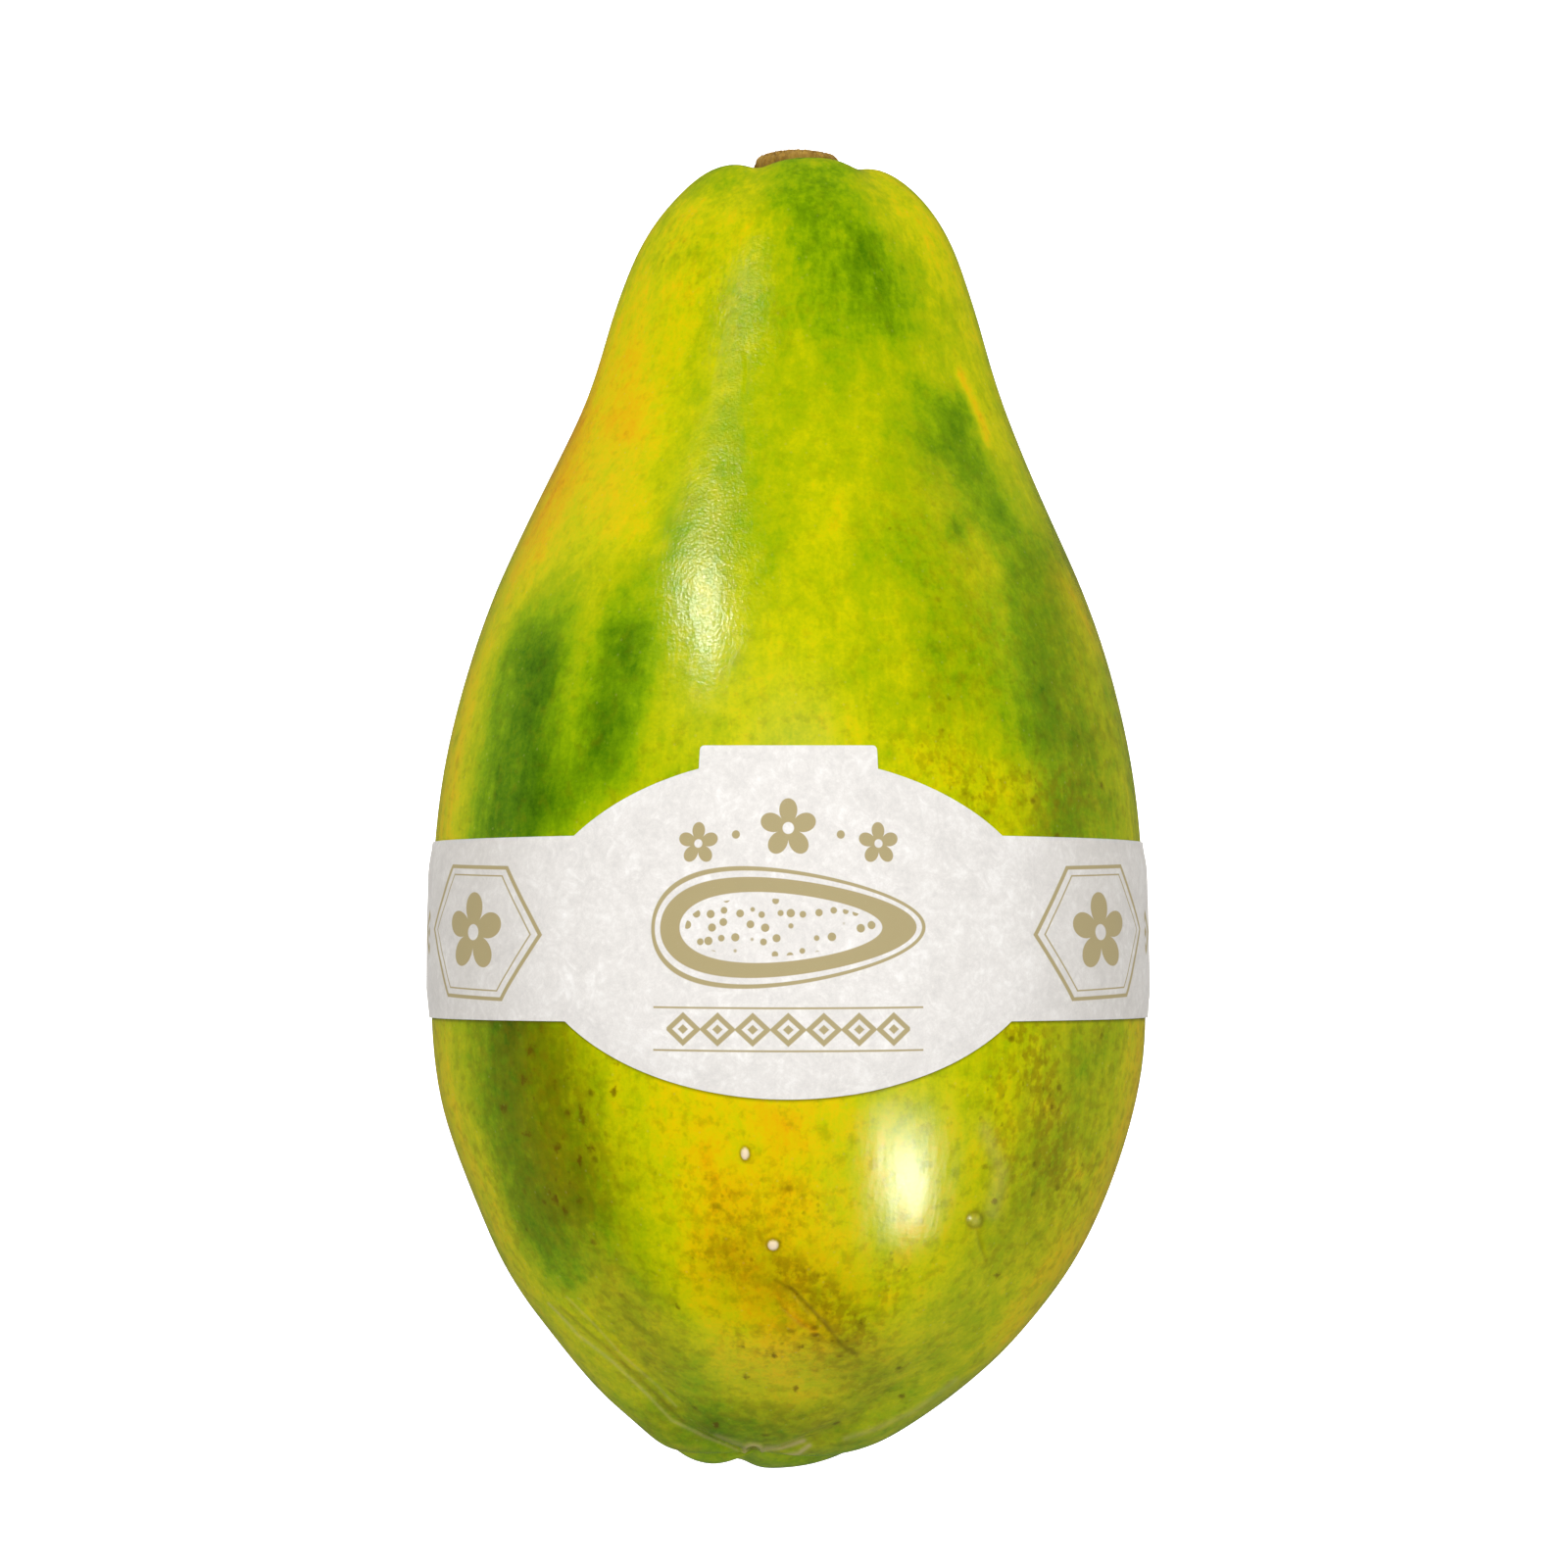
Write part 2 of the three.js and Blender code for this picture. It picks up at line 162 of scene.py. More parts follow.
# Patches of brown freckles: strength, half-width, path in seen coordinates
SEEN_FRECKLES = (
    (0.7, 6, ((24, 118), (34, 112), (46, 112))),
    (0.9, 4.5, ((38, 74), (42, 68), (43.5, 58), (45, 48))),
    (0.7, 5, ((37, 66), (36, 58), (38, 50))),
    (0.6, 5, ((50, 50), (47, 44))),
    (0.55, 7, ((-16, 46), (-8, 42), (2, 44))),
    (0.6, 5, ((-14, 36), (-8, 33))),
    (0.9, 4, ((0, 33), (6, 28), (12, 22))),
    (0.6, 4, ((-8, 20), (2, 20), (10, 20))),
    (0.6, 3.5, ((18, 33), (17, 27))),
    (0.45, 9, ((-42, 70), (-38, 58), (-34, 48))),
    (0.35, 9, ((20, 156), (30, 150), (34, 140), (30, 128))),
    (0.3, 6, ((3, 194), (-8, 192), (-18, 202))),
)
# Patches where the skin is darker, partly duller skin and partly painted shade: strength, half-width, path in
# seen coordinates
SEEN_DULL_AND_SHADE = (
    (0.9, 10, ((-44, 74), (-41, 56), (-37, 44))),
    (0.45, 7, ((-34, 38), (-28, 28), (-22, 18))),
    (0.4, 10, ((50, 72), (46, 54), (38, 38))),
    (0.15, 8, ((34, 30), (26, 20))),
    (0.5, 8, ((-8, 34), (6, 26), (12, 16))),
    (0.5, 6, ((-20, 7), (-6, 7), (8, 7))),
    (0.5, 8, ((44, 150), (46, 130), (49, 110))),
    (0.25, 9, ((26, 168), (30, 150), (28, 130))),
    (0.5, 7, ((50, 122), (46, 106))),
)
# Dark spots, in seen coordinates: those about 1.5 mm wide and those about 0.8 mm wide
LARGE_SPOTS = (
    (-43, 69.2), (-38.4, 60.7), (-34.4, 57.2), (-47.6, 59.2), (-38.5, 52.6), (-33, 52.6),
    (-34.8, 44.9), (-43.5, 54.6),
)
SMALL_SPOTS = (
    (-44.1, 64.5), (-37.2, 58.7), (-34.8, 60.2), (-44.9, 58), (-40, 51.8), (-41.5, 51.2),
    (-34.9, 50.7), (-28.9, 67.2), (-29.2, 62.2), (-36.9, 64.3), (-35.4, 63.1), (-40.3, 45.9),
    (-38.9, 44.3), (-36.9, 47.7), (-32, 46.9), (-29.8, 45.3), (-28.9, 48.9), (-28, 47.7),
    (-27, 44.9), (-37.2, 42.5), (-17.5, 63), (-26, 41), (-18.5, 26.5), (1.3, 12.6), (2.1, 19.7),
    (-2.3, 18.2), (18.5, 16.2), (19, 11.5), (30, 24), (35, 31.5), (46.9, 58.2), (44.3, 59.4),
    (43.5, 53.5), (-7.5, 20), (-12, 6.5), (-7, 14.5), (24, 35.5), (34.6, 43.9), (12, 24),
)

# Raised and sunken lines: height, half-width, path in seen coordinates
SKIN_LINES = (
    # the pair of folds at the lower left
    (
        -0.16,
        0.4,
        ((-41, 27.5), (-35.1, 22), (-29.4, 17.6), (-23.6, 12.1), (-19.5, 7.6), (-13.8, 4.8), (-8, 2.2)),
    ),
    (0.14, 0.5, ((-40, 28.6), (-34, 23.2), (-28.4, 18.8), (-22.6, 13.1), (-18.4, 8.6), (-13, 5.8))),
    (-0.14, 0.35, ((-36, 29), (-32.6, 24.6), (-28, 20.3), (-22, 13.8), (-17.5, 9.6))),
    # the low ridge at the lower right
    (0.25, 0.8, ((30, 16), (25, 12), (20.7, 9), (15, 6.4), (9.5, 4.4))),
    # the diagonal line in the middle
    (-0.22, 0.6, ((-2, 30.5), (0.7, 29), (3, 26.4), (5.6, 23.6), (8.9, 19.7))),
    (0.18, 0.5, ((-1.7, 29.4), (-1, 26.8), (1, 24.9), (4.3, 22.3))),
    # the line below the pimple, and the ridge above it
    (-0.2, 0.45, ((31.4, 40), (32.4, 36.5), (33.4, 33))),
    (0.15, 0.9, ((36, 50), (34.8, 44), (33.3, 39))),
    # wrinkles of the neck
    (-0.14, 0.4, ((-7, 187), (-6.8, 182), (-7.4, 178))),
    (-0.1, 0.6, ((-5, 192.6), (0, 193.4), (5, 193.6))),
    (-0.1, 0.7, ((-29, 156), (-26, 153.5), (-20, 153.4))),
    # wrinkles beside the blossom scar
    (0.35, 0.4, ((-4.2, 2.6), (-1, 3), (2.6, 4))),
    (0.3, 0.4, ((-0.6, 1.5), (1.8, 2), (3.6, 3.2))),
)
# Pale lines, painted highlights along the folds, ridges and wrinkles: strength, half-width, path in seen
# coordinates
PALE_HIGHLIGHT_LINES = (
    (
        0.4,
        0.24,
        ((-40, 26.9), (-35.1, 21.6), (-29.4, 17.2), (-23.6, 11.6), (-19.5, 7.2), (-13.8, 4.4), (-8.5, 2.4)),
    ),
    (0.22, 0.2, ((-37, 28), (-32.6, 23.6), (-28.5, 19.2), (-22, 13.2), (-18.7, 9.6))),
    (0.3, 0.5, ((-12, 4.6), (-8, 3.2), (-5, 2.4))),
    (0.22, 1.3, ((33, 56), (35.8, 49), (34.2, 42))),
    (0.3, 0.45, ((28, 14.4), (25, 12), (20.7, 9), (15, 6.4), (9.5, 4.4))),
    (0.9, 0.4, ((-4.2, 2.6), (-1, 3), (2.6, 4))),
    (0.9, 0.35, ((-0.6, 1.5), (1.8, 2), (3.6, 3.2))),
)
# Dark lines, painted shade in the grooves of the diagonal line, below the pimple and in the folds at the
# lower left: strength, half-width, path in seen coordinates
SHADE_LINES = (
    (0.75, 0.45, ((-2, 30.8), (0.8, 29.2), (3.2, 26.6), (5.8, 23.9), (9, 19.9), (11.5, 18.4))),
    (0.5, 0.4, ((31.6, 40), (32.4, 36.5), (33.2, 34))),
    (0.5, 0.35, ((-38, 26.4), (-33, 21.8), (-27.6, 17), (-21.8, 11.4), (-17.5, 7))),
)
# Dried drops of latex: place in seen coordinates, half-width and half-length
LATEX_DROPS = (
    ((-7.2, 51.9), 0.68, 0.95),
    ((-2.5, 36.6), 0.88, 0.82),
)
LATEX_HEIGHT = 0.4
LATEX_EDGE = (0.85, 1.1)  # where a drop's colour ends, in shares of its half-width
LATEX_RIM = (1.25, 0.3)  # middle and width of the groove round a drop, in the same shares
LATEX_RIM_DEPTH = 0.12
LATEX_RIM_SHADE = 0.8
PIMPLE = (31.3, 40.8)
PIMPLE_RADIUS = 0.9
PIMPLE_HEIGHT = 0.35
PIMPLE_PIT_RADIUS = 0.35
PIMPLE_PIT_DEPTH = 0.25
PIMPLE_TOP = 0.8  # radius of its pale top
PIMPLE_PALENESS = 0.4
PIMPLE_RIM = (1.3, 0.4)
PIMPLE_RIM_SHADE = 0.7
# The scar where the flower was, in seen coordinates, with the ring round it
SCAR_PLACE = (-5.8, 2.4)
SCAR_STRETCH = (1, 0.7)
SCAR_RING = (1.5, 0.45)
SCAR_HEIGHT = 0.35
SCAR_PALENESS = 0.9
SCAR_PIT_RADIUS = 0.7
SCAR_PIT_DEPTH = 0.5
LINE_ENDS = (-1.0, 4.0)  # lines grow to their full height between these distances from their ends
LARGE_SPOT_REACH = 1.15
SMALL_SPOT_REACH = 0.75
# Swellings of the whole skin: height, size and seed
LUMPS = ((0.12, 9, 2), (0.35, 30, 7))
LIFTED = (1.2, 8)  # small forms fade out between these heights, so that the fruit rests as packed
# Grime of the underside: strength, size of its patches with their seed, and how dull it is
UNDER_GRIME = 0.3
UNDER_PATCHES = (26, 5)
UNDER_DULLNESS = 0.8
# Rounds of splitting near small marks: reach in millimetres and the smallest area split, in its square
REFINING = ((2.6, 0.5), (1.5, 0.2), (1.1, 0.08))
PAPER_REACH = (-32, 0)  # the lower edge of the paper lies between these places along

# Colours of the skin along the ripeness scale, as linear red, green and blue
SKIN_COLOURS = (
    (0.0, (0.045, 0.120, 0.001)),
    (0.12, (0.085, 0.195, 0.001)),
    (0.26, (0.170, 0.310, 0.001)),
    (0.36, (0.260, 0.400, 0.001)),
    (0.5, (0.420, 0.480, 0.001)),
    (0.6, (0.560, 0.560, 0.001)),
    (0.74, (0.720, 0.550, 0.001)),
    (0.88, (0.760, 0.440, 0.001)),
    (1.0, (0.660, 0.270, 0.002)),
)
FRECKLE_AND_SHADE_COLOUR = (0.1, 0.045, 0.001, 1)
RUSSET_COLOUR = (0.22, 0.13, 0.001, 1)
DIRT_COLOUR = (0.15, 0.13, 0.001, 1)
DULL_AND_SHADE_COLOUR = (0.4, 0.38, 0.4, 1)
PALE_AND_HIGHLIGHT_COLOUR = (0.52, 0.43, 0.16, 1)
LATEX_COLOUR = (0.84, 0.68, 0.46, 1)
# painted shadow: the colour of the thin line below the paper's lower edge
PAPER_SHADOW_COLOUR = (0.1, 0.1, 0.002, 1)

# The stub: colours along the grain of its bark and of its cut face, and the depths of its cracks and grain
BARK_COLOURS = ((0.3, (0.09, 0.035, 0.003)), (0.5, (0.27, 0.14, 0.012)), (0.72, (0.5, 0.31, 0.04)))
WOOD_COLOURS = ((0.3, (0.1, 0.045, 0.004)), (0.52, (0.34, 0.18, 0.02)), (0.75, (0.56, 0.36, 0.08)))
CUT_STARTS = (0.7, 0.95)  # the cut face begins between these shares of the stub's length
CRACK_STRETCH = (0.9, 0.35, 0.9)
CRACK_WIDTH = 0.12
CRACK_DEPTH = 0.5
CORK_GRAIN = 2.2
CORK_GRAIN_HEIGHT = 0.16

# The paper band
STRIP_HALF = 14.5
STRIP_RISE = 2.2
PANEL_HALF_WIDTH = 41.6
PANEL_HALF_LENGTH = 26.4
TAB_AZIMUTH = 14.7  # the tab's sides
TAB_END = 30.4
TAB_CORNER = 0.7
PAPER_OUT = 0.8  # the paper's outer side stands this far off the skin
PAPER_OUT_AT_EDGE = 0.42
PAPER_EDGE_REACH = 5
PAPER_THICKNESS = 0.3
SEAM_START = 127
SEAM_LAP = 14
SEAM_SLOPE = 4
BAND_COLUMNS = 480
BAND_ROWS = 30
TAB_ROWS = 8
SHEET_STEP = 1.0  # spacing along the fruit of the measured distances to the skin
SHEET_REACH = (-30, TAB_END + 5)
SHEET_SMOOTHING = 9  # columns over which the measured distances are averaged
SHEET_LOWEST = 0.01
WAVE_STRETCH = (0.055, 0.09)
WAVE_SEED = 3.1
WAVE_HEIGHT = 0.1
WAVE_EDGE_REACH = 3
RIPPLE_STRETCH = 4
RIPPLE_HEIGHT = 0.05
SHARP_ANGLE = 40
PAPER_COLOUR = (0.77, 0.74, 0.705)
PAPER_DARK_SHARE = 0.86
PAPER_BRIGHT_COLOUR = (0.9, 0.88, 0.85)
# painted shade towards the paper's sides: its colour, its share and where it starts
PAPER_SIDE_SHADE_COLOUR = (0.3, 0.27, 0.22, 1)
PAPER_SIDE_SHADE = 0.26
PAPER_SIDE_STARTS = (34, 62)  # painted shade: the paper darkens between these distances from its middle
INK_COLOUR = (0.40, 0.325, 0.15, 1)


# Small helpers for arrays of numbers


def smoothstep(value, low, high):
    """0 below low, 1 above high and smooth between."""
    share = np.clip((value - low) / (high - low), 0, 1)
    return share * share * (3 - 2 * share)


def path_points(path, step):
    """Points close together along a path."""
    points = []
    for start, end in zip(path, path[1:]):
        start = np.array(start, float)
        end = np.array(end, float)
        count = max(int(np.linalg.norm(end - start) / step), 1)
        points.extend(start + (end - start) * i / count for i in range(count))
    points.append(np.array(path[-1], float))
    return np.array(points)


def distance_to(places, path, furthest):
    """The distance from each place to a path, or infinity where it is over the furthest."""
    corners = np.array(path, float)
    near = ((places > corners.min(0) - furthest) & (places < corners.max(0) + furthest)).all(1)
    close = places[near]
    nearest = np.full(len(close), np.inf)
    for start, end in zip(corners, corners[1:]):
        along = end - start
        share = np.clip((close - start) @ along / (along @ along), 0, 1)
        nearest = np.minimum(nearest, ((close - start - share[:, None] * along) ** 2).sum(1))
    distance = np.full(len(places), np.inf)
    distance[near] = np.sqrt(nearest)
    return distance


def fade(distance, reach):
    """1 on a line and falling smoothly to 0 about twice its reach away."""
    return np.exp(-((distance / reach) ** 2))


def away(places, centre, stretch=(1, 1)):
    """The distance from each place to a centre, in units of the two stretches."""
    return np.hypot(*((places - centre) / stretch).T)


def ring(distance, middle, width):
    """1 at a distance from something and fading to each side of it."""
    return fade(distance - middle, width)


def glow(places, path, reach):
    """1 on a path, fading to each side of it."""
    return fade(distance_to(places, path, 3 * reach), reach)


def coordinates(mesh):
    """A mesh's points, in millimetres."""
    points = np.empty(len(mesh.vertices) * 3)
    mesh.vertices.foreach_get("co", points)
    return points.reshape(-1, 3) / MM


def normals(mesh):
    """A mesh's directions outwards at its points."""
    values = np.empty(len(mesh.vertices) * 3, np.float32)
    mesh.vertex_normals.foreach_get("vector", values)
    return values.reshape(-1, 3).astype(float)


def move_points(mesh, points):
    mesh.vertices.foreach_set("co", (points * MM).ravel())
    mesh.update()


def shade_smooth(mesh):
    for polygon in mesh.polygons:
        polygon.use_smooth = True


def store(mesh, name, values, kind="FLOAT"):
    """Keeps one number or vector for each point of a mesh, for its material."""
    layer = mesh.attributes.new(name, kind, "POINT")
    layer.data.foreach_set("value" if kind == "FLOAT" else "vector", np.asarray(values, np.float32).ravel())


# Places on the fruit


def seen(points):
    """Where the camera sees points: millimetres across the fruit and along it, on the view plane."""
    spread = (CAMERA_HEIGHT - VIEW_PLANE) / (CAMERA_HEIGHT - points[:, 2])
    across = CAMERA_ACROSS + (points[:, 0] - CAMERA_ACROSS) * spread
    along = CAMERA_ALONG + (points[:, 1] - CAMERA_ALONG) * spread + BELLY_ALONG
    return np.stack([across, along], 1)


def round_places(points):
    """The azimuth in degrees and the distance along of points, and their distance from the fruit's axis."""
    height = points[:, 2] - AXIS_HEIGHT
    along = points[:, 1] * math.cos(NECK_DROP) - height * math.sin(NECK_DROP)
    up = points[:, 1] * math.sin(NECK_DROP) + height * math.cos(NECK_DROP)
    azimuth = np.degrees(np.arctan2(points[:, 0], up))
    return np.stack([azimuth, along + BELLY_ALONG], 1), np.hypot(points[:, 0], up)


def upper_share(points):
    """1 where the camera sees the skin, 0 underneath and smooth between."""
    places, _ = round_places(points)
    return smoothstep(np.cos(np.radians(places[:, 0])), -0.12, 0.1)


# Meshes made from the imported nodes


def link(mesh, name):
    thing = bpy.data.objects.new(name, mesh)
    bpy.context.scene.collection.objects.link(thing)
    return thing


def smooth_copy(node, name, levels):
    """A finer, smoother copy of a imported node: its triangles are joined to quads and subdivided."""
    shape = bmesh.new()
    shape.from_mesh(node.data)
    bmesh.ops.remove_doubles(shape, verts=shape.verts, dist=0.001 * MM)
    bmesh.ops.join_triangles(
        shape,
        faces=shape.faces,
        angle_face_threshold=math.radians(60),
        angle_shape_threshold=math.radians(180),
    )
    mesh = bpy.data.meshes.new(name)
    shape.to_mesh(mesh)
    shape.free()
    thing = link(mesh, name)
    subdivision = thing.modifiers.new("smoother", "SUBSURF")
    subdivision.levels = levels
    subdivision.render_levels = levels
    finer = bpy.data.meshes.new_from_object(thing.evaluated_get(bpy.context.evaluated_depsgraph_get()))
    thing.modifiers.clear()
    thing.data = finer
    bpy.data.meshes.remove(mesh)
    finer.name = name
    finer.materials.clear()
    return thing


def refine(mesh, wanted, smallest):
    """Splits the faces for which wanted(centres) is true, so that small marks have points enough.

    Faces whose area is under the smallest, in square millimetres, are left as they are.
    """
    shape = bmesh.new()
    shape.from_mesh(mesh)
    centres = np.array([face.calc_center_median() for face in shape.faces]) / MM
    areas = np.array([face.calc_area() for face in shape.faces]) / MM**2
    chosen = wanted(centres) & (areas > smallest)
    edges = {edge for face, keep in zip(shape.faces, chosen) if keep for edge in face.edges}
    edges = sorted(edges, key=lambda edge: edge.index)
    bmesh.ops.subdivide_edges(shape, edges=edges, cuts=1, use_grid_fill=True)
    shape.to_mesh(mesh)
    shape.free()


# The fruit


def near_marks(reach):
    """A test for refine(): is a place of the upper side near a small mark of the skin?"""
    paths = [path for _, _, path in SKIN_LINES + PALE_HIGHLIGHT_LINES + SHADE_LINES]

    def wanted(centres):
        places = seen(centres)
        close = np.zeros(len(centres), bool)
        for path in paths:
            close |= distance_to(places, path, reach) < reach
        for spot in [place for place, _, _ in LATEX_DROPS] + [PIMPLE, SCAR_PLACE]:
            close |= away(places, spot) < reach + 1
        return close & (upper_share(centres) > 0.2)

    return wanted


def fruit_relief(points):
    """Height of the skin's small forms at each point, in millimetres."""
    places = seen(points)
    height = np.zeros(len(points))
    for rise, reach, path in SKIN_LINES:
        ends = np.minimum(away(places, path[0]), away(places, path[-1]))
        height += rise * glow(places, path, reach) * smoothstep(ends, *LINE_ENDS)
    for place, half_width, half_length in LATEX_DROPS:
        offset = away(places, place, (half_width, half_length))
        height += LATEX_HEIGHT * np.sqrt(np.clip(1 - offset**2, 0, None))
        height -= LATEX_RIM_DEPTH * ring(offset, *LATEX_RIM)
    offset = away(places, PIMPLE)
    height += PIMPLE_HEIGHT * fade(offset, PIMPLE_RADIUS)
    height -= PIMPLE_PIT_DEPTH * fade(offset, PIMPLE_PIT_RADIUS)
    offset = away(places, SCAR_PLACE, SCAR_STRETCH)
    height += SCAR_HEIGHT * ring(offset, *SCAR_RING)
    height -= SCAR_PIT_DEPTH * fade(offset, SCAR_PIT_RADIUS)
    return height * upper_share(points)


def waviness(points, size, seed):
    """Smooth noise from -1 to 1, with swellings of the given size, longer along the fruit."""
    stretch = Vector((1 / size, 0.45 / size, 1 / size))
    return np.array([noise.noise(Vector(point) * stretch + Vector((seed, seed, seed))) for point in points])


def fruit_ripeness(points):
    """How ripe the skin is at each point."""
    places = seen(points)
    rounds, radius = round_places(points)
    on_top = upper_share(points)
    base = np.interp(rounds[:, 1], *zip(*RIPENESS_AT))
    above = base.copy()
    for shift, reach, path in SEEN_STREAKS:
        above += shift * glow(places, path, reach)
    below = base + (SIDE_RIPENESS - 0.5)
    for shift, reach, path in ROUND_STREAKS:
        nearest = np.full(len(points), np.inf)
        for azimuth, along in path_points(path, 2):
            turn = np.radians((rounds[:, 0] - azimuth + 180) % 360 - 180)
            nearest = np.minimum(nearest, (turn * radius) ** 2 + (rounds[:, 1] - along) ** 2)
        below += shift * fade(np.sqrt(nearest), reach)
    return above * on_top + below * (1 - on_top)


def below_paper(points):
    """How far each point lies below the paper's lower edge, with 9 where it is nowhere near."""
    distance = np.full(len(points), 9.0)
    for i in np.flatnonzero((points[:, 1] > PAPER_REACH[0]) & (points[:, 1] < PAPER_REACH[1])):
        x, y, z = points[i]
        azimuth = math.degrees(math.atan2(x, z - AXIS_HEIGHT))
        distance[i] = paper_edges(azimuth, math.hypot(x, z - AXIS_HEIGHT))[0] - y
    return distance


def line_mask(places, lines):
    """The strongest of several lines at each place."""
    mask = np.zeros(len(places))
    for strength, reach, path in lines:
        mask = np.maximum(mask, strength * glow(places, path, reach))
    return mask


def spot_mask(places):
    """The strongest of the dark spots at each place."""
    spots = np.zeros(len(places))
    for marks, reach in ((LARGE_SPOTS, LARGE_SPOT_REACH), (SMALL_SPOTS, SMALL_SPOT_REACH)):
        for spot in marks:
            spots = np.maximum(spots, fade(away(places, spot), reach))
    return spots


def pale_and_highlight_mask(places):
    """Where the skin is pale: painted highlights along the lines, and the pale ring of the scar and top of
    the pimple.
    """
    pale = line_mask(places, PALE_HIGHLIGHT_LINES)
    pale = np.maximum(pale, SCAR_PALENESS * ring(away(places, SCAR_PLACE, SCAR_STRETCH), *SCAR_RING))
    return np.maximum(pale, PIMPLE_PALENESS * fade(away(places, PIMPLE), PIMPLE_TOP))


def dark_and_shade_mask(places):
    """Where the skin is dark: painted shade along the lines and round the pimple, the scar's pit, partly its
    own colour and partly painted shade, and the brown rims of the drops of latex.
    """
    dark = line_mask(places, SHADE_LINES)
    dark = np.maximum(dark, fade(away(places, SCAR_PLACE, SCAR_STRETCH), SCAR_PIT_RADIUS))
    dark = np.maximum(dark, PIMPLE_RIM_SHADE * ring(away(places, PIMPLE), *PIMPLE_RIM))
    for place, half_width, half_length in LATEX_DROPS:
        offset = away(places, place, (half_width, half_length))
        dark = np.maximum(dark, LATEX_RIM_SHADE * ring(offset, *LATEX_RIM))
    return dark


def latex_mask(places):
    """1 on the drops of latex."""
    latex = np.zeros(len(places))
    for place, half_width, half_length in LATEX_DROPS:
        offset = away(places, place, (half_width, half_length))
        latex = np.maximum(latex, 1 - smoothstep(offset, *LATEX_EDGE))
    return latex


def store_marks(mesh, points):
    """Keeps what the skin's material has to know at each point."""
    places = seen(points)
    rounds, _ = round_places(points)
    on_top = upper_share(points)
    grime = UNDER_GRIME * smoothstep(waviness(points, *UNDER_PATCHES), 0.0, 0.5) * (1 - on_top)
    store(mesh, "ripeness", fruit_ripeness(points))
    store(mesh, "freckling", line_mask(places, SEEN_FRECKLES) * on_top + grime)
    store(mesh, "dull_and_shade", line_mask(places, SEEN_DULL_AND_SHADE) * on_top + UNDER_DULLNESS * grime)
    store(mesh, "spots", spot_mask(places) * on_top)
    store(mesh, "pale", pale_and_highlight_mask(places) * on_top)
    store(mesh, "dark", dark_and_shade_mask(places) * on_top)
    store(mesh, "latex", latex_mask(places) * on_top)
    store(mesh, "along", rounds[:, 1])
    store(mesh, "below_paper", below_paper(points))


def make_fruit(node):
    fruit = smooth_copy(node, "papaya_skin", levels=2)
    mesh = fruit.data
    for reach, smallest in REFINING:
        refine(mesh, near_marks(reach), smallest)
    points = coordinates(mesh)
    store_marks(mesh, points)
    relief = fruit_relief(points)
    for height, size, seed in LUMPS:
        relief += height * waviness(points, size, seed)
    relief *= smoothstep(points[:, 2], *LIFTED)
    move_points(mesh, points + normals(mesh) * relief[:, None])
    shade_smooth(mesh)
    mesh.materials.append(skin_material())
    return fruit


# The stub of the stem


def make_stub(node):
    stub = smooth_copy(node, "stub_cork", levels=3)
    mesh = stub.data
    points = coordinates(mesh)
    low = points.min(0)
    high = points.max(0)
    middle = (low + high) / 2
    from_axis = np.hypot(points[:, 0] - middle[0], points[:, 2] - middle[2])
    share = (points[:, 1] - low[1]) / (high[1] - low[1])
    cracks = np.array([abs(noise.noise(Vector(p) * Vector(CRACK_STRETCH))) for p in points])
    grain = np.array([noise.noise(Vector(p) * CORK_GRAIN) for p in points])
    inwards = CORK_GRAIN_HEIGHT * grain - CRACK_DEPTH * (1 - smoothstep(cracks, 0.0, CRACK_WIDTH))
    store(mesh, "cut", smoothstep(share, *CUT_STARTS))
    store(mesh, "from_axis", from_axis)
    move_points(mesh, points + normals(mesh) * inwards[:, None])
    shade_smooth(mesh)
    mesh.materials.append(stub_material())
    return stub


# The paper band


def band_columns():
    """The azimuths of the band's columns: even steps, closer together at the tab's corners and at the lap."""
    even = set(np.round(np.linspace(-180, 180, BAND_COLUMNS, endpoint=False), 4))
    corner = [0, 0.04, 0.12, 0.25, 0.42, 0.6, 0.75]
    close = [side * (TAB_AZIMUTH - step) for side in (-1, 1) for step in corner]
    close += [SEAM_START - 0.04, SEAM_START, SEAM_START + 0.1]
    even = [azimuth for azimuth in even if min(abs(azimuth - other) for other in close) > 0.25]
    return np.array(sorted(even + close))


def paper_edges(azimuth, reach):
    """Where the strip or the panel begins and ends along the fruit, and where a tab ends."""
    across = reach * math.sin(math.radians(azimuth))
    upper = max(math.cos(math.radians(azimuth)), 0)
    half = STRIP_HALF
    if upper > 0 and abs(across) < PANEL_HALF_WIDTH:
        half = max(half, PANEL_HALF_LENGTH * math.sqrt(1 - (across / PANEL_HALF_WIDTH) ** 2))
    middle = STRIP_RISE * upper
    past = TAB_AZIMUTH - abs(azimuth)
    tab = None
    if past > -0.01:
        in_corner = TAB_CORNER - min(math.radians(max(past, 0)) * reach, TAB_CORNER)
        tab = TAB_END - TAB_CORNER + math.sqrt(TAB_CORNER**2 - in_corner**2)
    return middle - half, middle + half, tab


def measured_skin(fruit, azimuths):
    """The distance from the band's level axis to the skin at each azimuth and each step along, smoothed."""
    tree = BVHTree.FromObject(fruit, bpy.context.evaluated_depsgraph_get())
    steps = np.arange(*SHEET_REACH, SHEET_STEP)
    reach = np.empty((len(azimuths), len(steps)))
    for i, azimuth in enumerate(np.radians(azimuths)):
        outwards = Vector((math.sin(azimuth), 0, math.cos(azimuth)))
        for j, along in enumerate(steps):
            hit = tree.ray_cast(Vector((0, along, AXIS_HEIGHT)) * MM, outwards)
            reach[i, j] = hit[3] / MM
    spread = SHEET_SMOOTHING
    weights = np.hanning(2 * spread + 1)
    weights /= weights.sum()
    wrapped = np.concatenate([reach[-spread:], reach, reach[:spread]])
    smooth = np.stack([np.convolve(wrapped[:, j], weights, "valid") for j in range(len(steps))], 1)
    return steps, np.maximum(smooth, reach)


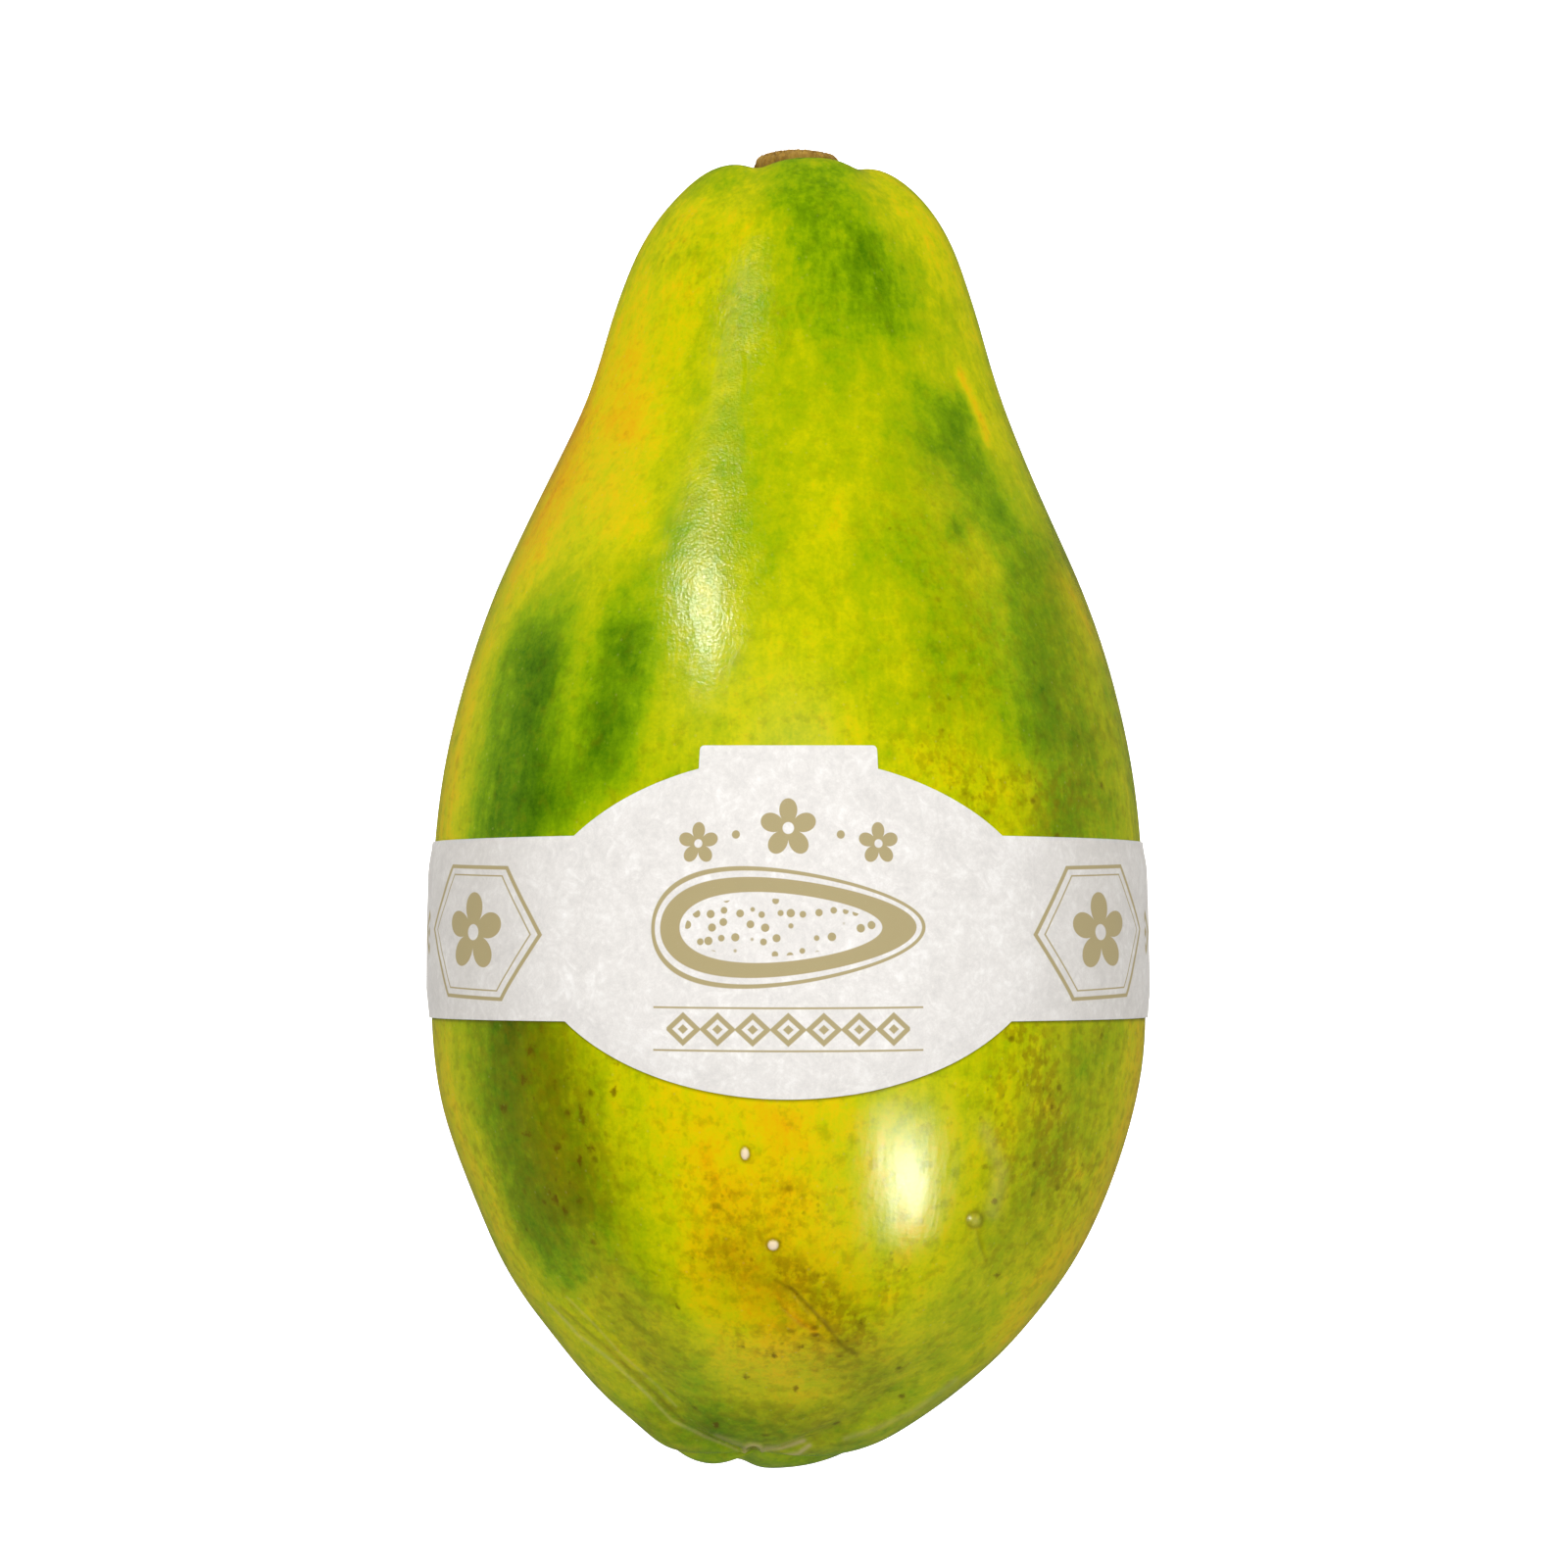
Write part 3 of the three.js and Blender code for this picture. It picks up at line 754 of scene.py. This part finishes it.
def paper_distances(azimuth, turned, along, edge):
    """How far the paper's outer and inner sides stand off the skin, at a distance from the paper's edge."""
    outer = PAPER_OUT_AT_EDGE + (PAPER_OUT - PAPER_OUT_AT_EDGE) * smoothstep(edge, 0, PAPER_EDGE_REACH)
    place = Vector((turned * WAVE_STRETCH[0], along * WAVE_STRETCH[1], WAVE_SEED))
    outer += WAVE_HEIGHT * noise.noise(place) * smoothstep(edge, 0, WAVE_EDGE_REACH)
    outer += RIPPLE_HEIGHT * noise.noise(place * RIPPLE_STRETCH)
    lap = azimuth - SEAM_START
    if 0 <= lap <= SEAM_LAP + SEAM_SLOPE:
        outer += PAPER_THICKNESS * (1 - smoothstep(lap, SEAM_LAP, SEAM_LAP + SEAM_SLOPE))
    sheets = 2 if 0 <= lap <= SEAM_LAP else 1
    return outer, outer - sheets * PAPER_THICKNESS


def sheet_faces(number, columns, count):
    """The faces of the outer side, the inner side and the rim of a sheet that runs round and closes.

    number gives the outer point at each column and row, and the inner points follow count places later.
    """
    quads = []
    for column in range(columns):
        after = (column + 1) % columns
        for row in range(BAND_ROWS + TAB_ROWS):
            corners = [(column, row), (after, row), (after, row + 1), (column, row + 1)]
            if all(corner in number for corner in corners):
                quads.append([number[corner] for corner in corners])
    sides = {}
    for quad in quads:
        for start, end in zip(quad, quad[1:] + quad[:1]):
            if (end, start) in sides:
                del sides[end, start]
            else:
                sides[start, end] = True
    inside = [[count + i for i in reversed(quad)] for quad in quads]
    rim = [[end, start, count + start, count + end] for start, end in sides]
    return quads + inside + rim


def make_band(fruit):
    azimuths = band_columns()
    steps, skin = measured_skin(fruit, azimuths)
    belly = np.array([np.interp(0, steps, row) for row in skin])
    outline = [paper_edges(azimuth, reach + PAPER_OUT) for azimuth, reach in zip(azimuths, belly)]
    turned = np.concatenate([[0], np.cumsum(np.radians(np.diff(azimuths)) * (belly[1:] + PAPER_OUT))])
    turned -= np.interp(0, azimuths, turned)
    outer = []
    inner = []
    flat = []
    number = {}

    def add_point(column, row, along):
        begin, end, tab = outline[column]
        edge = min(along - begin, (end if tab is None else tab) - along)
        if tab is not None and along > end - 3:
            side = (TAB_AZIMUTH - abs(azimuths[column])) * math.radians(1) * belly[column]
            edge = min(edge, max(side, end - along))
        outside, inside = paper_distances(azimuths[column], turned[column], along, edge)
        reach = np.interp(along, steps, skin[column])
        across = math.sin(math.radians(azimuths[column]))
        up = math.cos(math.radians(azimuths[column]))
        number[column, row] = len(outer)
        for points, off, lowest in ((outer, outside, 0), (inner, inside, PAPER_THICKNESS)):
            height = max(AXIS_HEIGHT + up * (reach + off), SHEET_LOWEST + lowest)
            points.append((across * (reach + off), along, height))
        flat.append((turned[column], along, 0))

    for column, (begin, end, tab) in enumerate(outline):
        for row, share in enumerate(np.linspace(0, 1, BAND_ROWS + 1)):
            add_point(column, row, begin + (end - begin) * share)
        if tab is not None:
            for row, share in enumerate(np.linspace(0, 1, TAB_ROWS + 1)[1:]):
                add_point(column, BAND_ROWS + 1 + row, end + (tab - end) * share)

    mesh = bpy.data.meshes.new("band_paper")
    faces = sheet_faces(number, len(azimuths), len(outer))
    mesh.from_pydata([Vector(point) * MM for point in outer + inner], [], faces)
    store(mesh, "paper", flat + flat, "FLOAT_VECTOR")
    mesh.materials.append(paper_material())
    shade_smooth(mesh)
    mesh.set_sharp_from_angle(angle=math.radians(SHARP_ANGLE))
    return link(mesh, "band_paper")


# Materials


class Graph:
    """A material's nodes. Values are sockets; arithmetic on them goes through Field."""

    def __init__(self, name):
        self.material = bpy.data.materials.new(name)
        self.material.use_nodes = True
        self.tree = self.material.node_tree
        self.shader = self.tree.nodes["Principled BSDF"]

    def add(self, kind, inputs=(), **settings):
        """Adds a node. inputs are (socket name or number, value or Field) pairs."""
        node = self.tree.nodes.new(kind)
        for name, value in settings.items():
            setattr(node, name, value)
        for key, value in inputs:
            self.connect(value, node.inputs[key])
        return node

    def connect(self, value, socket):
        if isinstance(value, Field):
            self.tree.links.new(value.socket, socket)
        else:
            socket.default_value = value

    def field(self, node, output=0):
        return Field(self, node.outputs[output])

    def stored(self, name, output="Fac"):
        """A number or vector kept in the mesh."""
        return self.field(self.add("ShaderNodeAttribute", attribute_name=name), output)

    def place(self, scale=(1, 1, 1)):
        """The point's place in millimetres, times scale."""
        source = self.add("ShaderNodeTexCoord")
        mapping = self.add("ShaderNodeMapping")
        self.tree.links.new(source.outputs["Object"], mapping.inputs["Vector"])
        mapping.inputs["Scale"].default_value = [1000 * part for part in scale]
        return self.field(mapping)

    def noise(self, place, scale, detail=3.0, roughness=0.55, distortion=0.0):
        inputs = [("Vector", place), ("Scale", scale), ("Detail", detail)]
        inputs += [("Roughness", roughness), ("Distortion", distortion)]
        return self.field(self.add("ShaderNodeTexNoise", inputs))

    def cells(self, place, scale, output="Distance", randomness=1.0):
        inputs = [("Vector", place), ("Scale", scale), ("Randomness", randomness)]
        return self.field(self.add("ShaderNodeTexVoronoi", inputs), output)

    def flecks(self, place, pitch, share, radius, outline):
        """Soft round flecks scattered at random: share is how many places of the pitch's grid hold one."""
        distance = self.cells(place, 1 / pitch) * pitch + outline
        chance = self.cells(place, 1 / pitch, output="Color").split()[0]
        held = ((share - chance) * 5).least(1).most(0)
        return (1 - distance.step(radius * 0.4, radius * 1.4)) * held

    def mix(self, share, first, second, blend="MIX"):
        node = self.add("ShaderNodeMix", data_type="RGBA", blend_type=blend)
        for value, index in ((share, 0), (first, 6), (second, 7)):
            self.connect(value, node.inputs[index])
        return self.field(node, 2)

    def ramp(self, value, stops):
        node = self.add("ShaderNodeValToRGB", [("Fac", value)])
        elements = node.color_ramp.elements
        for position, colour in stops[1:-1]:
            elements.new(position).color = (*colour, 1)
        elements[0].position, elements[0].color = stops[0][0], (*stops[0][1], 1)
        elements[len(stops) - 1].position = stops[-1][0]
        elements[len(stops) - 1].color = (*stops[-1][1], 1)
        return self.field(node)

    def bump(self, height, distance):
        return self.field(self.add("ShaderNodeBump", [("Height", height), ("Distance", distance * MM)]))

    def finish(self, **sockets):
        """Sets the shader's sockets, named with underscores for spaces."""
        for name, value in sockets.items():
            self.connect(value, self.shader.inputs[name.replace("_", " ")])
        return self.material


class Field:
    """A value that differs over a surface. Arithmetic on it adds nodes to its graph."""

    def __init__(self, graph, socket):
        self.graph = graph
        self.socket = socket

    def math(self, operation, *others):
        inputs = [(0, self)] + [(i + 1, other) for i, other in enumerate(others)]
        return self.graph.field(self.graph.add("ShaderNodeMath", inputs, operation=operation))

    def __add__(self, other):
        return self.math("ADD", other)

    __radd__ = __add__

    def __sub__(self, other):
        return self.math("SUBTRACT", other)

    def __rsub__(self, other):
        return self.math("MULTIPLY_ADD", -1.0, other)

    def __mul__(self, other):
        return self.math("MULTIPLY", other)

    __rmul__ = __mul__

    def __truediv__(self, other):
        return self.math("DIVIDE", other)

    def __abs__(self):
        return self.math("ABSOLUTE")

    def least(self, other):
        return self.math("MINIMUM", other)

    def most(self, other):
        return self.math("MAXIMUM", other)

    def step(self, low, high):
        """0 below low, 1 above high and smooth between."""
        inputs = [("Value", self), ("From Min", low), ("From Max", high)]
        return self.graph.field(self.graph.add("ShaderNodeMapRange", inputs, interpolation_type="SMOOTHSTEP"))

    def split(self):
        """The parts of a vector."""
        node = self.graph.add("ShaderNodeSeparateXYZ", [(0, self)])
        return [self.graph.field(node, i) for i in range(3)]


def skin_tone(graph, mottle, grain, along):
    """How ripe the skin looks: its ripeness with lengthwise streaks and threads, mottling and grain."""
    streaks = graph.noise(graph.place((1, 0.22, 1)), 0.2, detail=5, roughness=0.6)
    threads = graph.noise(graph.place((1, 0.12, 1)), 0.8, detail=4, roughness=0.65)
    threaded = along.step(176, 200) * 0.25 + 0.18
    tone = graph.stored("ripeness") + (streaks - 0.5) * 0.34 + (threads - 0.5) * threaded
    return tone + (mottle - 0.5) * 0.42 + (grain - 0.5) * 0.24


def dulled_and_shaded(graph, colour, dull_and_shade, along):
    """The skin's colour with darker blotches, partly duller skin and partly painted shade, and greenish-brown
    dirt.
    """
    blotch = graph.noise(graph.place((1, 0.7, 1)), 0.42, detail=6, roughness=0.72)
    shade = dull_and_shade * 0.9 + (0.5 - blotch) * (dull_and_shade * 0.7 + 0.4)
    # painted shade, with duller skin: a grey multiply darkens the skin where the mask is strong
    colour = graph.mix(shade.step(-0.1, 1.1), colour, DULL_AND_SHADE_COLOUR, blend="MULTIPLY")
    dirt = graph.noise(graph.place(), 0.45, detail=5, roughness=0.65)
    dirt = (dirt + dull_and_shade * 0.16).step(0.5, 0.68)
    return graph.mix(dirt * (dull_and_shade * 0.1 + 0.3 - along.step(112, 140) * 0.14), colour, DIRT_COLOUR)


def freckled(graph, colour, dull_and_shade, grain):
    """The skin's colour with russet patches, brown flecks and spots, and pale pores."""
    freckling = graph.stored("freckling")
    russet = graph.noise(graph.place((1, 0.75, 1)), 0.7, detail=3, roughness=0.6)
    russet = (russet + freckling * 0.14).step(0.52, 0.7) * freckling.least(1)
    colour = graph.mix(russet * 0.6, colour, RUSSET_COLOUR)
    outline = (grain - 0.5) * 0.5
    small = graph.flecks(graph.place((1, 0.75, 1)), 1.15, freckling * 0.5 + dull_and_shade * 0.06 + 0.03, 0.3, outline)
    large = graph.flecks(graph.place((0.8, 1, 1)), 3.1, freckling * 0.3 + dull_and_shade * 0.4 + 0.04, 0.6, outline)
    colour = graph.mix((small * 0.6).most(large) * 0.6, colour, FRECKLE_AND_SHADE_COLOUR)
    spots = (graph.stored("spots") + (grain - 0.5) * 1.2).step(0.4, 0.9)
    colour = graph.mix(spots * 0.7, colour, FRECKLE_AND_SHADE_COLOUR)
    pore = 1 - graph.cells(graph.place(), 0.42).step(0.05, 0.13)
    return graph.mix(pore * 0.14, colour, PALE_AND_HIGHLIGHT_COLOUR)


def marked(graph, colour, latex, mottle):
    """The skin's colour with its dark marks, partly painted shade, its pale marks, partly painted highlights,
    the drops of latex and a painted shadow below the paper's edge.
    """
    # painted shade along the dark lines, in the scar's pit and round the pimple, with the brown rims round
    # the latex
    colour = graph.mix(graph.stored("dark") * 0.6, colour, FRECKLE_AND_SHADE_COLOUR)
    # painted highlights along the pale lines, with the pale ring of the scar and top of the pimple
    colour = graph.mix((graph.stored("pale") * (mottle + 0.35)).least(1), colour, PALE_AND_HIGHLIGHT_COLOUR)
    colour = graph.mix(latex, colour, LATEX_COLOUR)
    # painted shadow: a thin dark line on the skin just below the paper's lower edge
    paper_shadow = 1 - graph.stored("below_paper").step(0.1, 0.7)
    return graph.mix(paper_shadow * 0.6, colour, PAPER_SHADOW_COLOUR)


def skin_material():
    graph = Graph("papaya_skin")
    dull_and_shade = graph.stored("dull_and_shade")
    latex = graph.stored("latex")
    along = graph.stored("along")
    place = graph.place()
    mottle = graph.noise(place, 0.3, detail=7, roughness=0.7)
    grain = graph.noise(place, 1.6, detail=4, roughness=0.7)
    colour = graph.ramp(skin_tone(graph, mottle, grain, along), SKIN_COLOURS)
    colour = dulled_and_shaded(graph, colour, dull_and_shade, along)
    colour = freckled(graph, colour, dull_and_shade, grain)
    colour = marked(graph, colour, latex, mottle)

    # the neck has a rougher peel, which breaks up its highlight, and its tip hardly shines
    orange_peel = graph.noise(place, 1.9, detail=2, roughness=0.5)
    waves = graph.noise(graph.place((1, 0.22, 1)), 0.35, detail=2)
    rugged = along.step(118, 150) * 0.8 + 0.15
    gloss = 1 - along.step(152, 180) * 0.8
    return graph.finish(
        Base_Color=colour,
        Roughness=0.2 - rugged * 0.06 + (mottle - 0.5) * 0.06 + latex * 0.3,
        Normal=graph.bump(orange_peel * rugged + waves * 0.85, 0.1),
        IOR=1.4,
        Specular_IOR_Level=gloss * 0.2,
    )


def stub_material():
    graph = Graph("stub_cork")
    place = graph.place()
    cut = graph.stored("cut")
    from_axis = graph.stored("from_axis")
    fibres = graph.noise(graph.place((1, 0.3, 1)), 1.1, detail=6, roughness=0.7)
    patches = graph.noise(place, 0.45, detail=4)
    rim = from_axis.step(3.2, 5.6)
    bark = graph.ramp(fibres * 0.7 + patches * 0.3, BARK_COLOURS)
    wood = graph.ramp(fibres * 0.6 + patches * 0.3 + rim * 0.12, WOOD_COLOURS)
    colour = graph.mix(cut, bark, wood)
    height = fibres * 0.8 + graph.noise(place, 3.5, detail=3) * 0.4
    normal = graph.bump(height, 0.35)
    return graph.finish(Base_Color=colour, Roughness=0.82, Normal=normal, Specular_IOR_Level=0.3)


def paper_material():
    graph = Graph("band_paper")
    flat = graph.stored("paper", "Vector")
    clouds = graph.noise(flat, 0.16, detail=6, roughness=0.65, distortion=0.6)
    fibres = graph.noise(flat, 0.9, detail=5, roughness=0.7)
    specks = graph.noise(flat, 3.0, detail=2)
    creases = abs(graph.noise(flat, 0.3, detail=5, roughness=0.6, distortion=1.2) - 0.5)
    shade = 1 + (clouds - 0.5) * 0.3 + (creases - 0.08) * 0.4 + (fibres - 0.5) * 0.24 + (specks - 0.5) * 0.1
    darkest = tuple(PAPER_DARK_SHARE * part for part in PAPER_COLOUR)
    base = graph.ramp(
        (shade - 0.88) / 0.24,
        ((0.0, darkest), (0.5, PAPER_COLOUR), (1.0, PAPER_BRIGHT_COLOUR)),
    )
    # painted shade: the paper darkens towards its sides
    sideways = abs(flat.split()[0]).step(*PAPER_SIDE_STARTS)
    base = graph.mix(sideways * PAPER_SIDE_SHADE, base, PAPER_SIDE_SHADE_COLOUR)
    ink = printed(graph, flat)
    worn = (fibres * 0.5 + specks * 0.5).step(0.3, 0.42) * 0.12 + 0.86
    colour = graph.mix(ink * worn, base, INK_COLOUR)
    height = clouds * 0.5 + fibres * 0.4 + specks * 0.25
    normal = graph.bump(height, 0.06)
    return graph.finish(Base_Color=colour, Roughness=0.78, Normal=normal, Specular_IOR_Level=0.35)


# The print on the band: plain fruit and flower motifs, drawn by distances in millimetres of flat paper

EDGE = 0.07  # softness of the ink's edges
PRINT_RISE = 2  # the print's middle lies this far from the paper's middle, towards the stem
CUT_FRUIT = (21.5, 8.6)  # half-width and half-length
CUT_FRUIT_RISE = 0.3
MIDDLE_FLOWER = (15.6, 4.6)  # rise and radius
SIDE_FLOWER = (14.5, 13.2, 3.3)  # distance across, rise and radius, as for the dots
DOT = (8.4, 14.6, 0.65)
ROW_FALL = 15.4  # the row of lozenges and the rules beside it
ROW_LOZENGE = (5.4, 2.1)  # pitch and half-length
ROW_HALF_WIDTH = 18.8
RULES = (3.3, 0.15, 21)  # distance from the row, half-width and reach
MEDAL_ACROSS = 59  # the hexagons at the sides
MEDAL_FALL = 1.3
MEDAL_SQUEEZE = 0.72
MEDAL_LINES = ((10.4, 0.3), (9.1, 0.12))  # distance from the middle and half-width
MEDAL_FLOWER = (0.8, 6.4)  # squeeze and radius
BACK_LOZENGE = (9.0, 3.0)
BACK_ACROSS = 130
BACK_HALF_WIDTH = 50
SEED_PITCH = 2.1
SEED_RADIUS = 0.66
PETALS = 5


def inked(distance):
    """1 where a distance to a shape is negative."""
    return 1 - distance.step(-EDGE, EDGE)


def ellipse(across, along, half_width, half_length):
    """The distance to an ellipse, near its outline."""
    x = across / half_width
    y = along / half_length
    size = (x * x + y * y).math("SQRT")
    slope_x = across / half_width**2
    slope_y = along / half_length**2
    slope = (slope_x * slope_x + slope_y * slope_y).math("SQRT").most(0.001)
    return size * (size - 1) / slope


def blossom(across, along, radius):
    """The distance to a flower with rounded petals and an open middle."""
    size = (across * across + along * along).math("SQRT")
    turn = across.math("ARCTAN2", along)
    petal = abs((turn * (PETALS / 2)).math("COSINE")).math("POWER", 0.7)
    outline = size - (petal * 0.62 + 0.38) * radius
    return outline.most(radius * 0.2 - size)


def line(distance, half_width):
    """The distance to a line drawn along an outline."""
    return abs(distance) - half_width


def fruit_half(across, along, half_width, half_length, seeds):
    """The distance to a fruit cut in half lengthwise: a rind, the flesh, and a hollow with seeds."""
    taper = along * (1 + across * (0.32 / half_width))
    rind = line(ellipse(across, taper, half_width, half_length), 0.3)
    flesh = ellipse(across, taper, half_width - 1.2, half_length - 1.2)
    hollow = ellipse(across + 1.2, taper, half_width - 5.6, half_length - 3.4)
    return rind.least(flesh.most(hollow * -1)).least((hollow + 0.9).most(seeds))


def lozenges(across, along, pitch, half_length):
    """The distance to a row of lozenges, each with an open middle."""
    offset = abs(across.math("WRAP", pitch / 2, -pitch / 2))
    size = offset / (pitch * 0.42) + abs(along) / half_length
    return line((size - 1) * 1.1, 0.28).least((size - 0.36) * 1.1)


def within(distance, across, half_width):
    """A shape cut off at a distance to each side of the middle."""
    return distance.most(abs(across) - half_width)


def medals(across, up):
    """The distance to the hexagons at the sides, each with a blossom in it."""
    across = abs(across) - MEDAL_ACROSS
    up = up + MEDAL_FALL
    narrowed = abs(across) * MEDAL_SQUEEZE
    hexagon = (narrowed * 0.866 + abs(up) * 0.5).most(abs(up))
    squeeze, radius = MEDAL_FLOWER
    medal = blossom(across * squeeze, up, radius)
    for distance, half_width in MEDAL_LINES:
        medal = medal.least(line(hexagon - distance, half_width))
    return medal


def flowers(across, up):
    """The distance to the blossoms and dots over the cut fruit."""
    middle = blossom(across, up - MIDDLE_FLOWER[0], MIDDLE_FLOWER[1])
    apart, rise, radius = SIDE_FLOWER
    sides = blossom(abs(across) - apart, up - rise, radius)
    apart, rise, radius = DOT
    dot_across = abs(across) - apart
    dot_up = up - rise
    dots = (dot_across * dot_across + dot_up * dot_up).math("SQRT") - radius
    return middle.least(sides).least(dots)


def printed(graph, flat):
    """Where the paper is inked, from 0 to 1, at a flat place on it."""
    across, along, _ = flat.split()
    up = along - PRINT_RISE
    seeds = graph.cells(flat, 1 / SEED_PITCH, randomness=0.5) * SEED_PITCH - SEED_RADIUS
    fruit = fruit_half(across, up - CUT_FRUIT_RISE, *CUT_FRUIT, seeds)
    below = up + ROW_FALL
    row = within(lozenges(across, below, *ROW_LOZENGE), across, ROW_HALF_WIDTH)
    distance, half_width, reach = RULES
    rules = within(line(abs(below) - distance, half_width), across, reach)
    back = within(lozenges(across, along, *BACK_LOZENGE), abs(across) - BACK_ACROSS, BACK_HALF_WIDTH)
    shapes = fruit.least(flowers(across, up)).least(row).least(rules)
    return inked(shapes.least(medals(across, up)).least(back))


def floor_material():
    graph = Graph("floor")
    return graph.finish(
        Base_Color=(FLOOR_TONE, FLOOR_TONE, FLOOR_TONE, 1),
        Roughness=0.9,
        Specular_IOR_Level=0.1,
        Emission_Color=(1, 1, 1, 1),
        Emission_Strength=FLOOR_GLOW,
    )


# Stage

# Softboxes: name, tilt from straight up towards +X and towards the stem in degrees, distance, size and power.
# Some only glint on the skin and the large one only lights, as behind crossed polarisers.
SOFTBOXES = (
    ("key", -38, 51, 1000, (60, 440), 8, "glint"),
    ("second", 43, -43.5, 1000, (150, 300), 6, "glint"),
    ("second_halo", 43, -43, 990, (300, 560), 7, "glint"),
    ("overhead", -1, 9, 1300, (900, 1100), 21, "light"),
)
SKY_STRENGTH = 0.08
GROUND_STRENGTH = 1.6
FLOOR_HALF = 6000
FLOOR_TONE = 0.3
FLOOR_GLOW = 1.5


def aim(thing, target):
    """Turns a lamp or camera so that its view runs to the target."""
    direction = Vector(target) - thing.location
    thing.rotation_euler = direction.to_track_quat("-Z", "Y").to_euler()


def make_stage():
    floor_mesh = bpy.data.meshes.new("floor")
    half = FLOOR_HALF * MM
    corners = [(-half, -half, 0), (half, -half, 0), (half, half, 0), (-half, half, 0)]
    floor_mesh.from_pydata(corners, [], [(0, 1, 2, 3)])
    floor_mesh.materials.append(floor_material())
    floor = link(floor_mesh, "floor")
    floor.visible_glossy = False

    middle = Vector((0, 20, AXIS_HEIGHT)) * MM
    for name, tilt_across, tilt_along, distance, size, power, use in SOFTBOXES:
        lamp = bpy.data.lights.new(name, "AREA")
        lamp.shape = "ELLIPSE"
        lamp.size = size[0] * MM
        lamp.size_y = size[1] * MM
        lamp.energy = power
        thing = bpy.data.objects.new(name, lamp)
        bpy.context.scene.collection.objects.link(thing)
        sideways = math.tan(math.radians(tilt_across))
        lengthways = math.tan(math.radians(tilt_along))
        thing.location = middle + Vector((sideways, lengthways, 1)).normalized() * distance * MM
        thing.visible_glossy = use == "glint"
        thing.visible_diffuse = use == "light"
        aim(thing, middle)
    bpy.context.scene.world = studio_world()
    bpy.context.scene.view_settings.view_transform = "Standard"


def studio_world():
    """Pale surroundings, stronger below the horizon, where they stand for the floor's light."""
    world = bpy.data.worlds.new("studio")
    world.use_nodes = True
    nodes = world.node_tree.nodes
    links = world.node_tree.links
    direction = nodes.new("ShaderNodeTexCoord")
    parts = nodes.new("ShaderNodeSeparateXYZ")
    blend = nodes.new("ShaderNodeMapRange")
    blend.inputs["From Min"].default_value = -0.1
    blend.inputs["From Max"].default_value = 0.1
    blend.inputs["To Min"].default_value = GROUND_STRENGTH
    blend.inputs["To Max"].default_value = SKY_STRENGTH
    links.new(direction.outputs["Generated"], parts.inputs[0])
    links.new(parts.outputs["Z"], blend.inputs["Value"])
    links.new(blend.outputs["Result"], nodes["Background"].inputs["Strength"])
    return world


def make_camera():
    data = bpy.data.cameras.new("camera")
    data.lens = LENS
    data.sensor_width = SENSOR
    data.clip_start = 0.05
    data.clip_end = 20
    camera = bpy.data.objects.new("camera", data)
    bpy.context.scene.collection.objects.link(camera)
    camera.location = Vector((CAMERA_ACROSS, CAMERA_ALONG, CAMERA_HEIGHT)) * MM
    bpy.context.scene.camera = camera


def main():
    nodes = frame["nodes"]
    fruit = make_fruit(nodes["papaya_fruit"])
    stub = make_stub(nodes["stem_stub"])
    band = make_band(fruit)
    dressed = ((fruit, "papaya_fruit", "skin"), (stub, "stem_stub", "stub"), (band, "paper_band", "paper"))
    for piece, node, finish in dressed:
        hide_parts(node)
        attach(piece, "root")
    make_stage()
    make_camera()


main()
